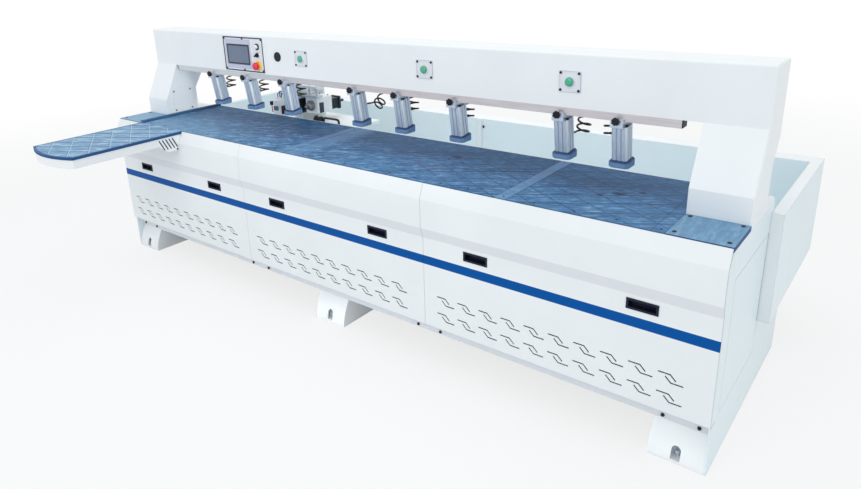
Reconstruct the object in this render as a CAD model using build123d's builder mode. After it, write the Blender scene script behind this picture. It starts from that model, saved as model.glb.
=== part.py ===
from build123d import *
from math import cos, pi, radians, sin, sqrt
import os

os.makedirs("parts", exist_ok=True)

# A side hole drilling machine for panel edges, in millimetres.
# X runs along the bed, the operator stands at -Y, and the floor is z = 0.

# Overall
bed_length = 3500
bed_depth = 575  # lower front skin to the rear edge of the table
table_height = 836
arm_reach = 650  # lower front skin to the nose of the support arm
trough_reach = 1385  # lower front skin to the back of the rear trough
front_y = (arm_reach - trough_reach) / 2  # so that the whole depth is centred on the origin
half_length = bed_length / 2
column_width = 205

# Fits
running_gap = 0.1  # around a round shaft
slide_gap = 0.3  # between sliding faces

# Feet and floor bolts
foot_width = 206
foot_height = 136
foot_front = 12  # toe, behind the lower front skin
foot_sweep = 50  # how far the toe stands ahead of the top of the foot
foot_back = 1000
foot_wall = 8
toe_thickness = 12
toe_length = 120
toe_edge = 12  # height of the upright lip at the toe
middle_foot_x = -25
bolt_diameter = 12  # levelling bolt in the toe
bolt_hole = 18  # floor bolt in the heel
bolt_setback = 34  # bolt axis behind the toe
heel_tab_width = 110
heel_tab_depth = 60
bolt_head_across = 19
bolt_head_height = 8
bolt_standing = 14  # bare shank above the toe plate
notch_width = 32
notch_height = 52
gusset_setback = 70  # cross plate in the foot, behind the toe

# Bed frame
channel_height = 100
channel_flange = 50
channel_wall = 6
channel_setback = 50  # front channel behind the lower front skin
heel_setback = 10  # rear channel ahead of the heel
web_thickness = 10
web_spacing = 150  # between the two webs over each foot
web_rim = 70
rail_plate_thickness = 20
rail_plate_low = table_height - 356
lip_depth = 12  # white lip behind the table
lip_height = 28
trough_bottom = 345

# Skins
skin_thickness = 3
skin_bend = 4
skin_low = 195
bevel_low = table_height - 233
bevel_high = table_height - 189
chamfer_low = table_height - 64
skin_top_gap = 2
nose_out = 14  # upper face ahead of the lower face
top_in = 13  # top edge behind the lower face
cover_count = 3
cover_gap = 1
side_thickness = 8
door_width = 445
door_height = 495
door_low = 205
door_front = 95
door_recess = 4
door_gap = 2

# Vents, two chevron slits in each
vent_columns = 10
vent_rows = 2
vent_pitch = 102
vent_row_pitch = 76
vent_width = 86
vent_height = 31
vent_flat = 41
vent_step = 20
vent_slit = 5
vent_start = 66  # from the left edge of a cover
vent_top = 348

# Pull handles
handle_width = 110
handle_height = 40
handle_flange = 2.5
handle_rim = 5
handle_wall = 2.5
handle_depth = 24
handle_z = table_height - 268
handle_near = 256  # from the left edge of a cover
handle_far = 915

# Table
base_plate_width = column_width + 33
fence_width = 18
fence_height = 14
board_thickness = 18
table_setback = 18
joint_strip_width = 50
board_length = 1178
board_gap = 1
base_plate_back = 560

# Support arm
arm_left = base_plate_width - 2  # from the left end of the bed
arm_width = 420
arm_sagitta = 48  # bulge of the rounded nose
arm_board_thickness = 14
arm_casing_height = 44
arm_wall = 3
bracket_drop = 41
bracket_length = 122
bracket_slope = 51
slit_count = 5
slit_width = 7
slit_pitch = 20
slit_rise = 58
slit_run = 56

# Gantry
column_front = 226  # all depths are behind the lower front skin
column_back = 440
column_kink = table_height + 92
column_back_kink = table_height + 142
column_back_top = table_height + 239
gantry_wall = 6
gantry_edge = 8
beam_front = 325
beam_back = 505
beam_low = table_height + 296
beam_high = beam_low + 206
cover_plate_side = 150
cover_plate_thickness = 4
cover_plate_z = table_height + 79

# Clamp rail
rail_depth = 45
rail_height = 30
rail_start = column_width + 21
rail_end = bed_length - 275
rail_wall = 4
rail_groove = 6
rail_groove_rise = 5

# Pneumatic clamps
clamp_positions = [567, 868, 1179, 1680, 1955, 2269, 2770, 3004]
clamp_tilt = radians(8.6)  # the barrels lean so that the panel is pressed down and back
barrel_side = 60
barrel_corner = 6
barrel_length = 134
barrel_drop = 22  # rail underside to the top front edge of the barrel
barrel_groove = 4
barrel_groove_depth = 3
barrel_groove_offset = 9
lip_thickness = 12
lip_rise = 9
saddle_width = 48  # from the left side of the barrel
knob_offset = 7
knob_drop = -2
knob_radius = 14
knob_facets = 14
knob_thickness = 12
knob_neck = 2
knob_neck_radius = 8
stud_radius = 4
rod_radius = 10
rod_length = 108
foot_plate_side = 52
foot_plate_thickness = 7
pad_side = 79
pad_corner = 12
pad_edge = 3
pad_height = 25
port_radius = 7
port_length = 8
port_drop = 75

# Coiled air hoses, each with its coil to the right of the clamp, its lean and its port in the beam
hose_radius = 4
hose_sides = 6
hose_turn = 10
coil_radius = 26
coil_turns = 2
coil_pitch = 29
coil_behind = 48  # coil axis, behind the barrel's port
coil_low = beam_low - 128
upright_coil = (36, 0.15, 95)
leaning_coil = (36, 1, 118)
close_coil = (8, 0, 44)
left_coil = (-80, 0, -112)
hose_routes = [close_coil] * 3 + [leaning_coil] + [close_coil] * 2 + [upright_coil, left_coil]
hose_port_behind = 484
hose_port_length = 12

# Control panel on the beam
panel_left = 708
panel_width = 322
panel_height = 180
panel_low = beam_low + 11
panel_thickness = 5
panel_edge = 1.5
panel_corner = 6
screen_left = 743
screen_width = 184
screen_height = 102
screen_low = panel_low + 36
screen_thickness = 3
switch_x = 997
power_z = panel_low + 134
selector_z = panel_low + 90
estop_z = panel_low + 33
collar_radius = 15
collar_height = 4
estop_collar_radius = 26
button_radius = 11
button_height = 12
button_stem = 7
stem_depth = 8
cap_lift = 5
cap_edge = 1.5
selector_height = 10
selector_grip = 7
selector_grip_height = 10
estop_radius = 20
estop_height = 16
estop_neck = 12
plate_positions = [1331, 2119, 2805]
plate_width = 82
plate_height = 73
plate_thickness = 3
plate_z = beam_low + 100
start_radius = 17
start_collar = 21
start_height = 5
start_collar_height = 4
plug_x = 1152
plug_radius = 25
plug_height = 5
plug_edge = 1.5

# Rear trough
trough_rim = table_height - 57
trough_front = 541
trough_end = 43
trough_back_wall = 93
trough_sheet = 3
rib_x = 1785
rib_width = 31
rib_depth = 12

# Drill carriage
rail_section = 20
rail_stand = 15
upper_rail_z = table_height - 116
lower_rail_z = table_height - 276
carriage_rail_length = bed_length - 60
spindle_x = 1013
spindle_z = table_height + 60
shelf_left = 680
shelf_right = 1310
shelf_back = 930
shelf_top = table_height - 46
shelf_thickness = 20
apron_left = 830
apron_right = 1240
apron_low = lower_rail_z - 35
apron_thickness = 20
apron_space = 8
shoe_stand_off = 2
shoe_length = 80
shoe_width = 48
tower_thickness = 20
tower_front = 640
tower_back = 880
tower_top = spindle_z + 116
bridge_thickness = 14
bridge_front = 655
bridge_back = 705
lift_rail = 12
lift_space = 15
feed_space = 22
feed_rail = 8
lift_rail_ys = [680, 800]
lift_plate_thickness = 18
lift_plate_front = 638
lift_plate_back = 830
lift_plate_margin = 2  # above and below the motor
lift_arm_thickness = 10
lift_shoe_length = 70
lift_shoe_width = 32
rod_xs = [990, 1052]
rod_y = 680
lift_rod_radius = 7
lift_rod_length = 103
motor_side = 96
motor_front = 668
motor_length = 120
motor_corner = 8
fan_side = 66
fan_length = 72
fan_drop = 13  # fan cover below the spindle's axis
fan_corner = 6
fan_fins = 7
fan_fin_width = 4
fan_fin_depth = 4
fan_flange_side = 76
fan_flange_length = 14
fan_tail_radius = 8
fan_tail_length = 56
slide_block_length = 80
slide_block_front = 700
feed_rail_length = 180
chuck_flange_radius = 30
chuck_flange_length = 14
chuck_radius = 23
chuck_length = 18
chuck_facets = 20
shaft_radius = 12
shaft_length = 40
bit_radius = 5
bit_length = 26
guard_left = 1170
guard_right = 1289
guard_y = 606
guard_top = shelf_top + 62
guard_radius = 6.5
guard_bend = 14
valve_left = 700
valve_width = 64
valve_front = 640
valve_depth = 60
valve_height = 112
valve_cap_radius = 11
valve_cap_height = 16
servo_side = 80
servo_length = 120
servo_x = 1130
servo_y = 700
servo_corner = 6


def along(distance):
    # distance from the left end of the bed, as an X coordinate
    return distance - half_length


def behind(depth):
    # depth behind the lower front skin, as a Y coordinate
    return front_y + depth


def block(x0, x1, y0, y1, z0, z1, mode=Mode.ADD):
    with Locations(((x0 + x1) / 2, (y0 + y1) / 2, (z0 + z1) / 2)):
        Box(x1 - x0, y1 - y0, z1 - z0, mode=mode)


def save(piece, name):
    piece.part.label = name
    export_step(piece.part, f"parts/{name}.step")


def facing_front(depth):
    # plane whose normal points at the operator, with X to the right and Z up
    return Plane.XZ.offset(-behind(depth))


# Feet: three folded steel beams from the toe back to the heel, open underneath
foot_xs = [foot_width / 2 - half_length, middle_foot_x, half_length - foot_width / 2]
toe_y = behind(foot_front)
heel_y = behind(foot_back)
bolt_y = toe_y + bolt_setback
tab_y = heel_y + heel_tab_depth / 2
side_outer = foot_width / 2 - side_thickness

with BuildPart() as foot:
    with BuildSketch(Plane.YZ.offset(-side_outer)):
        with BuildLine():
            Line((toe_y, toe_edge), (toe_y, 0))
            Line((toe_y, 0), (heel_y, 0))
            Line((heel_y, 0), (heel_y, foot_height))
            Line((heel_y, foot_height), (toe_y + foot_sweep, foot_height))
            RadiusArc((toe_y + foot_sweep, foot_height), (toe_y, toe_edge), -2.2 * foot_height)
        make_face()
    extrude(amount=2 * side_outer)
    with BuildSketch(Plane.YZ.offset(foot_wall - side_outer)):
        with BuildLine():
            Line((toe_y + foot_wall, toe_thickness), (heel_y - foot_wall, toe_thickness))
            Line((heel_y - foot_wall, toe_thickness), (heel_y - foot_wall, foot_height - foot_wall))
            inner_top = toe_y + foot_sweep + foot_wall
            Line((heel_y - foot_wall, foot_height - foot_wall), (inner_top, foot_height - foot_wall))
            RadiusArc((inner_top, foot_height - foot_wall), (toe_y + foot_wall, toe_thickness),
                      -2.2 * foot_height)
        make_face()
    extrude(amount=2 * (side_outer - foot_wall), mode=Mode.SUBTRACT)
    block(foot_wall - side_outer, side_outer - foot_wall, toe_y + toe_length, heel_y - toe_length,
          0, toe_thickness, mode=Mode.SUBTRACT)
    block(-heel_tab_width / 2, heel_tab_width / 2, heel_y, heel_y + heel_tab_depth, 0, toe_thickness)
    gusset_y = toe_y + gusset_setback
    block(-side_outer, side_outer, gusset_y, gusset_y + foot_wall, 0, foot_height)
    with Locations((0, tab_y, toe_thickness)):
        Hole(bolt_hole / 2, depth=toe_thickness)
    with Locations((0, bolt_y, toe_thickness)):
        Hole(bolt_diameter / 2 + running_gap, depth=toe_thickness)
    with BuildSketch(Plane.XZ.offset(-toe_y)):
        with Locations((0, toe_thickness)):
            Rectangle(notch_width, notch_height - notch_width / 2, align=(Align.CENTER, Align.MIN))
        with Locations((0, toe_thickness + notch_height - notch_width / 2)):
            Circle(notch_width / 2)
    extrude(amount=-(foot_sweep + foot_wall), mode=Mode.SUBTRACT)

with BuildPart() as base_feet:
    with Locations(*[(x, 0, 0) for x in foot_xs]):
        add(foot.part)
save(base_feet, "base_feet")

with BuildPart() as levelling_bolts:
    with BuildSketch(Plane.XY):
        with Locations(*[(x, bolt_y) for x in foot_xs]):
            Circle(bolt_diameter / 2)
    extrude(amount=toe_thickness + bolt_standing)
    with BuildSketch(Plane.XY.offset(toe_thickness + bolt_standing)):
        with Locations(*[(x, bolt_y) for x in foot_xs]):
            RegularPolygon(bolt_head_across / 2, 6, major_radius=False)
    extrude(amount=bolt_head_height)
save(levelling_bolts, "levelling_bolts")

# Bed frame: channels along the bed, webs over the feet and the machined plate for the carriage rails
board_low = table_height - board_thickness
frame_half = half_length - side_thickness
lip_half = half_length - column_width
channel_y = behind(channel_setback)
plate_front_y = behind(bed_depth - rail_plate_thickness)
plate_back_y = behind(bed_depth)
rear_web_y = behind(foot_back - heel_setback)
web_xs = [x + side * web_spacing / 2 for x in foot_xs for side in (-1, 1)]


def channel(y, z, direction):
    # section of a channel whose web stands at y and whose flanges point along Y
    with BuildLine() as outline:
        Polyline((y, z), (y + direction * channel_flange, z),
                 (y + direction * channel_flange, z + channel_wall),
                 (y + direction * channel_wall, z + channel_wall),
                 (y + direction * channel_wall, z + channel_height - channel_wall),
                 (y + direction * channel_flange, z + channel_height - channel_wall),
                 (y + direction * channel_flange, z + channel_height), (y, z + channel_height), close=True)
    return make_face(outline.edges(), mode=Mode.PRIVATE)


channel_faces = [channel(channel_y, foot_height, 1), channel(rear_web_y, trough_bottom - channel_height, -1)]
top_channel_y = behind(table_setback + channel_flange / 2)
channel_faces.append(channel(top_channel_y, board_low - channel_height, 1))

with BuildPart() as bed_frame:
    with BuildSketch(Plane.YZ.offset(-frame_half)):
        add(channel_faces)
    extrude(amount=2 * frame_half)
    block(-frame_half, frame_half, plate_front_y, plate_back_y, rail_plate_low, board_low)
    block(-lip_half, lip_half, plate_back_y, plate_back_y + lip_depth,
          table_height - lip_height, table_height - skin_top_gap)
    block(-frame_half, frame_half, plate_front_y, plate_back_y, board_low - lip_height, board_low)
    for web_x in web_xs:
        with BuildSketch(Plane.YZ.offset(web_x - web_thickness / 2)):
            with BuildLine():
                Polyline((channel_y + channel_wall, foot_height), (rear_web_y, foot_height),
                         (rear_web_y, trough_bottom), (plate_back_y, trough_bottom),
                         (plate_back_y, rail_plate_low), (plate_front_y, rail_plate_low),
                         (plate_front_y, board_low), (top_channel_y + channel_wall, board_low), close=True)
            make_face()
            window_y = (channel_y + plate_front_y) / 2
            with Locations((window_y + web_rim / 2, (trough_bottom + board_low) / 2)):
                Rectangle(plate_front_y - channel_y - 2.5 * web_rim, board_low - trough_bottom - 2 * web_rim,
                          mode=Mode.SUBTRACT)
        extrude(amount=web_thickness)
save(bed_frame, "bed_frame")

# Front skin: one folded profile in three covers, with vents and openings for the pull handles
skin_points = [
    (behind(top_in), table_height - skin_top_gap),
    (behind(-nose_out), chamfer_low),
    (behind(-nose_out), bevel_high),
    (behind(0), bevel_low),
    (behind(0), skin_low),
    (behind(channel_setback), skin_low),
]
cover_pitch = bed_length / cover_count
cover_starts = [i * cover_pitch - half_length for i in range(cover_count)]
handle_xs = [start + offset for start in cover_starts for offset in (handle_near, handle_far)]

with BuildSketch() as vent:
    with BuildLine():
        Polyline((0, vent_height), (vent_flat, vent_height),
                 (vent_flat + vent_step, vent_height - vent_step))
    trace(line_width=vent_slit)
    with BuildLine():
        Polyline((vent_width - vent_flat - vent_step, vent_step), (vent_width - vent_flat, 0),
                 (vent_width, 0))
    trace(line_width=vent_slit)

with BuildPart() as front_cover:
    with BuildSketch(Plane.YZ.offset(cover_gap / 2)):
        with BuildLine():
            FilletPolyline(*skin_points, radius=skin_bend)
            offset(amount=skin_thickness, side=Side.LEFT)
        make_face()
    extrude(amount=cover_pitch - cover_gap)
    with BuildSketch(facing_front(0)):
        with Locations(*[(vent_start + i * vent_pitch, vent_top - vent_height - j * vent_row_pitch)
                         for i in range(vent_columns) for j in range(vent_rows)]):
            add(vent.sketch)
        with Locations((handle_near, handle_z), (handle_far, handle_z)):
            Rectangle(handle_width - 2 * handle_rim, handle_height - 2 * handle_rim)
    extrude(amount=-skin_thickness, mode=Mode.SUBTRACT)

with BuildPart() as front_covers:
    with Locations(*[(start, 0, 0) for start in cover_starts]):
        add(front_cover.part)
save(front_covers, "front_covers")

# Pull handles: black cups behind the skin with a flange in front
cup_width = handle_width - 2 * handle_rim - 2 * slide_gap
cup_height = handle_height - 2 * handle_rim - 2 * slide_gap
handle_places = [(x, handle_z) for x in handle_xs]

with BuildPart() as pull_handles:
    with BuildSketch(facing_front(0)):
        with Locations(*handle_places):
            Rectangle(handle_width, handle_height)
    extrude(amount=handle_flange)
    with BuildSketch(facing_front(0)):
        with Locations(*handle_places):
            Rectangle(cup_width, cup_height)
    extrude(amount=-handle_depth)
    with BuildSketch(facing_front(-handle_flange)):
        with Locations(*handle_places):
            Rectangle(cup_width - 2 * handle_wall, cup_height - 2 * handle_wall)
    extrude(amount=-(handle_flange + handle_depth - handle_wall), mode=Mode.SUBTRACT)
save(pull_handles, "pull_handles")

# Side panels: end plates down to the floor, shaped to the inside of the front skin
skin_inner = [
    (behind(top_in) + skin_thickness, table_height - skin_top_gap - skin_thickness),
    (behind(-nose_out) + skin_thickness, chamfer_low),
    (behind(-nose_out) + skin_thickness, bevel_high),
    (behind(0) + skin_thickness, bevel_low),
    (behind(0) + skin_thickness, skin_low + skin_thickness),
]
panel_fit = 1
door_ys = (behind(door_front), behind(door_front + door_width))

with BuildPart() as side_panel:
    with BuildSketch(Plane.YZ.offset(half_length - side_thickness)):
        with BuildLine():
            Polyline(*[(y + panel_fit, z) for y, z in skin_inner[1:]],
                     (behind(channel_setback + panel_fit), skin_low + skin_thickness),
                     (behind(channel_setback + panel_fit), skin_low - skin_thickness),
                     (toe_y, skin_low - skin_thickness), (toe_y, 0), (heel_y, 0),
                     (heel_y, trough_bottom), (plate_back_y, trough_bottom),
                     (plate_back_y, board_low), (skin_inner[0][0] + panel_fit, board_low), close=True)
        make_face()
    extrude(amount=side_thickness)
    block(half_length - door_recess, half_length, door_ys[0] - door_gap, door_ys[1] + door_gap,
          door_low - door_gap, door_low + door_height + door_gap, mode=Mode.SUBTRACT)

with BuildPart() as side_panels:
    add(side_panel.part)
    mirror(about=Plane.YZ)
save(side_panels, "side_panels")

# Access covers: a door plate on each side and the sheet behind the bed
with BuildPart() as access_covers:
    block(half_length - door_recess, half_length, *door_ys, door_low, door_low + door_height)
    mirror(about=Plane.YZ)
    block(-frame_half, frame_half, plate_back_y, plate_back_y + skin_thickness, trough_bottom + trough_sheet,
          rail_plate_low + channel_flange / 2)
save(access_covers, "access_covers")

# Table: plates under the columns, a raised fence at the left and three boards with joint strips
board_front_y = behind(table_setback)
board_start = base_plate_width + fence_width
strip_starts = [board_start + (i + 1) * board_length + i * joint_strip_width for i in range(2)]
right_plate_start = bed_length - column_width - board_gap

board_spans = [
    (board_start, strip_starts[0]),
    (strip_starts[0], strip_starts[0] + joint_strip_width),
    (strip_starts[0] + joint_strip_width, strip_starts[1]),
    (strip_starts[1], strip_starts[1] + joint_strip_width),
    (strip_starts[1] + joint_strip_width, right_plate_start),
]

with BuildPart() as table_boards:
    for start, end in board_spans:
        block(along(start) + board_gap, along(end), board_front_y, plate_back_y, board_low, table_height)
save(table_boards, "table_boards")

with BuildPart() as column_base_plates:
    plate_ys = (board_front_y, behind(base_plate_back))
    block(-half_length, along(base_plate_width), *plate_ys, board_low, table_height)
    block(along(right_plate_start) + board_gap, half_length, *plate_ys, board_low, table_height)
save(column_base_plates, "column_base_plates")

with BuildPart() as side_fence:
    block(along(base_plate_width), along(board_start), board_front_y, plate_back_y,
          board_low, table_height + fence_height)
    chamfer(side_fence.edges().group_by(Axis.Z)[-1].filter_by(Axis.Y), skin_thickness)
save(side_fence, "side_fence")

# Support arm: board with a rounded nose on a folded casing, and a vented bracket at its root
arm_x0 = along(arm_left)
arm_x1 = along(arm_left + arm_width)
nose_y = behind(-arm_reach)
arm_board_low = table_height - arm_board_thickness
arm_low = arm_board_low - arm_casing_height
nose_radius = (arm_width**2 / 4 + arm_sagitta**2) / (2 * arm_sagitta)
casing_radius = nose_radius - arm_wall


def arm_outline(inset, root_y):
    # plan of the arm, drawn in from its rim by the inset
    x0 = arm_x0 + inset
    x1 = arm_x1 - inset
    shoulder = nose_y + arm_sagitta + inset
    with BuildLine() as outline:
        Line((x0, root_y), (x0, shoulder))
        ThreePointArc((x0, shoulder), ((x0 + x1) / 2, nose_y + inset), (x1, shoulder))
        Line((x1, shoulder), (x1, root_y))
        Line((x1, root_y), (x0, root_y))
    return make_face(outline.edges(), mode=Mode.PRIVATE)


skin_clear = [(y - slide_gap, z) for y, z in skin_points]

with BuildPart() as arm_board:
    with BuildSketch(Plane.XY.offset(arm_board_low)):
        add(arm_outline(0, board_front_y - slide_gap))
    extrude(amount=arm_board_thickness)
    with BuildSketch(Plane.YZ.offset(arm_x0)):
        with BuildLine():
            Polyline(skin_clear[0], skin_clear[1], (board_front_y, chamfer_low),
                     (board_front_y, table_height - skin_top_gap), close=True)
        make_face()
    extrude(amount=arm_width, mode=Mode.SUBTRACT)
save(arm_board, "arm_board")

bracket_root = behind(-nose_out)
bracket_front = bracket_root - bracket_length
bracket_low = arm_low - bracket_drop

with BuildPart() as arm_casing:
    with BuildSketch(Plane.XY.offset(arm_low)):
        add(arm_outline(arm_wall, board_front_y))
    extrude(amount=arm_casing_height)
    with BuildSketch(Plane.YZ.offset(arm_x0 + arm_wall)):
        with BuildLine():
            Polyline((bracket_front, arm_low), (bracket_front + bracket_slope, bracket_low),
                     (board_front_y, bracket_low), (board_front_y, arm_low), close=True)
        make_face()
    extrude(amount=arm_width - 2 * arm_wall)
    with BuildSketch(Plane.YZ.offset(arm_x0)):
        with BuildLine():
            Polyline(skin_clear[0], skin_clear[1], (skin_clear[1][0], bracket_low),
                     (board_front_y + arm_wall, bracket_low), (board_front_y + arm_wall, table_height),
                     close=True)
        make_face()
    extrude(amount=arm_width, mode=Mode.SUBTRACT)
    with BuildSketch(Plane.XY.offset(arm_low)):
        add(arm_outline(2 * arm_wall, bracket_front - arm_wall))
    extrude(amount=arm_casing_height - arm_wall, mode=Mode.SUBTRACT)
    with BuildSketch(Plane.YZ.offset(arm_x0 + 2 * arm_wall)):
        with BuildLine():
            Polyline((bracket_front + bracket_slope, bracket_low), (bracket_root - arm_wall, bracket_low),
                     (bracket_root - arm_wall, arm_board_low - arm_wall),
                     (bracket_front, arm_board_low - arm_wall), (bracket_front, arm_low), close=True)
        make_face()
    extrude(amount=arm_width - 4 * arm_wall, mode=Mode.SUBTRACT)
    with BuildSketch(Plane.YZ.offset(arm_x1 - 2 * arm_wall)):
        for i in range(slit_count):
            slit_y = bracket_front + (i + 0.3) * slit_pitch
            slit_z = arm_board_low - slit_pitch / 2
            with BuildLine():
                Line((slit_y, slit_z), (slit_y + slit_run / 2, slit_z - slit_rise))
            trace(line_width=slit_width)
    extrude(amount=2 * arm_wall, mode=Mode.SUBTRACT)
save(arm_casing, "arm_casing")

# Gantry: folded columns that lean back to the box beam
column_points = [
    (behind(column_front), table_height),
    (behind(column_front), column_kink),
    (behind(beam_front), beam_low),
    (behind(beam_front), beam_high),
    (behind(beam_back), beam_high),
    (behind(beam_back), column_back_top),
    (behind(column_back), column_back_kink),
    (behind(column_back), table_height),
]

with BuildPart() as column:
    with BuildSketch(Plane.YZ.offset(half_length - column_width)):
        with BuildLine():
            FilletPolyline(*column_points, radius=gantry_edge)
            Line(column_points[-1], column_points[0])
        column_face = make_face()
    extrude(amount=column_width)
    outer_face = column.faces().sort_by(Axis.X)[-1]
    chamfer(outer_face.edges().filter_by(lambda edge: edge.center().Z > table_height + 1), gantry_edge / 2)
    with BuildSketch(Plane.YZ.offset(half_length - column_width + gantry_wall)):
        add(column_face)
        offset(amount=-gantry_wall, mode=Mode.REPLACE)
        with Locations(((behind(column_front) + behind(column_back)) / 2, table_height)):
            Rectangle(column_back - column_front - 2 * gantry_wall, 4 * gantry_wall)
    extrude(amount=column_width - 2 * gantry_wall, mode=Mode.SUBTRACT)

with BuildPart() as gantry_columns:
    add(column.part)
    mirror(about=Plane.YZ)
save(gantry_columns, "gantry_columns")

beam_half = half_length - column_width
clamp_xs = [along(position) for position in clamp_positions]
hose_port_y = behind(hose_port_behind)
switch_mid_x = along(switch_x)
plate_xs = [along(position) for position in plate_positions]
stem_places = [(switch_mid_x, z) for z in (power_z, selector_z, estop_z)] + [(x, plate_z) for x in plate_xs]

with BuildPart() as gantry_beam:
    with BuildSketch(Plane.YZ.offset(-beam_half)):
        with BuildLine():
            FilletPolyline((behind(beam_front), beam_low), (behind(beam_front), beam_high),
                           (behind(beam_back), beam_high), (behind(beam_back), beam_low), radius=gantry_edge)
            Line((behind(beam_back), beam_low), (behind(beam_front), beam_low))
        make_face()
        with Locations((behind((beam_front + beam_back) / 2), (beam_low + beam_high) / 2)):
            Rectangle(beam_back - beam_front - 2 * gantry_wall, beam_high - beam_low - 2 * gantry_wall,
                      mode=Mode.SUBTRACT)
    extrude(amount=2 * beam_half)
    with BuildSketch(Plane.XY.offset(beam_low)):
        with Locations(*[(x + route[-1], hose_port_y) for x, route in zip(clamp_xs, hose_routes)]):
            RegularPolygon(port_radius, 6)
    extrude(amount=-hose_port_length)
    with BuildSketch(facing_front(beam_front)):
        with Locations(*stem_places):
            Circle(button_stem + running_gap)
    extrude(amount=-gantry_wall, mode=Mode.SUBTRACT)
save(gantry_beam, "gantry_beam")

with BuildPart() as column_cover:
    with BuildSketch(Plane.YZ.offset(-beam_half)):
        with Locations((behind((column_front + column_back) / 2), cover_plate_z)):
            RectangleRounded(cover_plate_side, cover_plate_side, gantry_edge)
    extrude(amount=cover_plate_thickness)
save(column_cover, "column_cover")

# Clamp rail: aluminium profile under the beam, open at its ends, with a groove behind
rail_front_y = behind(beam_front)
rail_low = beam_low - rail_height
rail_mid_y = rail_front_y + rail_depth / 2

with BuildPart() as clamp_rail:
    with BuildSketch(Plane.YZ.offset(along(rail_start))):
        with Locations((rail_mid_y, rail_low + rail_height / 2)):
            Rectangle(rail_depth, rail_height)
        groove_top = rail_low + rail_groove_rise + rail_groove
        cavity = rail_height - rail_groove_rise - rail_groove - 2 * rail_wall
        with Locations((rail_mid_y, groove_top + rail_wall + cavity / 2)):
            Rectangle(rail_depth - 2 * rail_wall, cavity, mode=Mode.SUBTRACT)
        with Locations((rail_mid_y + rail_depth / 2, groove_top - rail_groove / 2)):
            Rectangle(3 * rail_wall, rail_groove, mode=Mode.SUBTRACT)
    extrude(amount=rail_end - rail_start)
save(clamp_rail, "clamp_rail")

# Pneumatic clamps: a saddle on the rail, a leaning grooved barrel, a lobed knob and a pad on a rod
barrel_front_z = rail_low - barrel_drop
barrel_y = rail_front_y + barrel_side / 2 * cos(clamp_tilt)
barrel_z = barrel_front_z + barrel_side / 2 * sin(clamp_tilt)
knob_z = rail_low - knob_drop
stud_tip_y = rail_front_y - slide_gap
saddle_front_y = rail_front_y - slide_gap - lip_thickness
rear_lip_y = rail_front_y + rail_depth + slide_gap
saddle_back_y = rear_lip_y + lip_thickness
lip_top = rail_low + lip_rise
seat_z = rail_low - slide_gap
tube_bore = rod_radius + running_gap


def leaning(y, z):
    # a point given across and along the barrel, as Y and Z
    across = y * cos(clamp_tilt) - z * sin(clamp_tilt)
    up = y * sin(clamp_tilt) + z * cos(clamp_tilt)
    return (barrel_y + across, barrel_z + up)


def barrel_plane(x, z):
    # plane square to the barrel, z along its axis from the top, with X to the right
    y0, z0 = leaning(0, z)
    return Plane(origin=(x, y0, z0), x_dir=(1, 0, 0), z_dir=(0, -sin(clamp_tilt), cos(clamp_tilt)))


def make_clamp_body(x):
    with BuildPart() as body:
        with BuildSketch(Plane.YZ.offset(x - barrel_side / 2)):
            with BuildLine():
                Polyline((saddle_front_y, lip_top), (stud_tip_y, lip_top), (stud_tip_y, seat_z),
                         (rear_lip_y, seat_z), (rear_lip_y, lip_top), (saddle_back_y, lip_top),
                         leaning((saddle_back_y - barrel_y) / cos(clamp_tilt), 0),
                         leaning((saddle_front_y - barrel_y) / cos(clamp_tilt), 0), close=True)
            make_face()
        extrude(amount=saddle_width)
        with BuildSketch(facing_front(beam_front)):
            with Locations((x - knob_offset, knob_z)):
                Circle(stud_radius + running_gap)
        extrude(amount=2 * lip_thickness, mode=Mode.SUBTRACT)
        with BuildSketch(barrel_plane(x, 0)):
            barrel_square = Rectangle(barrel_side, barrel_side)
            chamfer(barrel_square.vertices(), barrel_corner)
            with PolarLocations(barrel_side / 2, 4):
                with GridLocations(0, 2 * barrel_groove_offset, 1, 2):
                    Rectangle(2 * barrel_groove_depth, barrel_groove, mode=Mode.SUBTRACT)
        extrude(amount=-barrel_length)
        with BuildSketch(barrel_plane(x, -barrel_length)):
            Circle(tube_bore)
        extrude(amount=rod_length + slide_gap, mode=Mode.SUBTRACT)
        port_y, port_z = leaning(barrel_side / 2 - barrel_groove_depth, -port_drop)
        back = (0, cos(clamp_tilt), sin(clamp_tilt))
        with BuildSketch(Plane(origin=(x, port_y, port_z), x_dir=(1, 0, 0), z_dir=back)):
            RegularPolygon(port_radius, 6)
        extrude(amount=port_length + barrel_groove_depth)
    return body


def make_clamp_knob(x):
    with BuildPart() as knob:
        with BuildSketch(Plane.XZ.offset(-saddle_front_y + slide_gap + knob_neck)):
            with Locations((x - knob_offset, knob_z)):
                RegularPolygon(knob_radius, knob_facets)
        extrude(amount=knob_thickness)
        with BuildSketch(Plane.XZ.offset(-saddle_front_y + slide_gap)):
            with Locations((x - knob_offset, knob_z)):
                Circle(knob_neck_radius)
        extrude(amount=knob_neck)
        with BuildSketch(Plane.XZ.offset(-stud_tip_y)):
            with Locations((x - knob_offset, knob_z)):
                Circle(stud_radius)
        extrude(amount=lip_thickness + slide_gap + knob_neck)
    return knob


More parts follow.
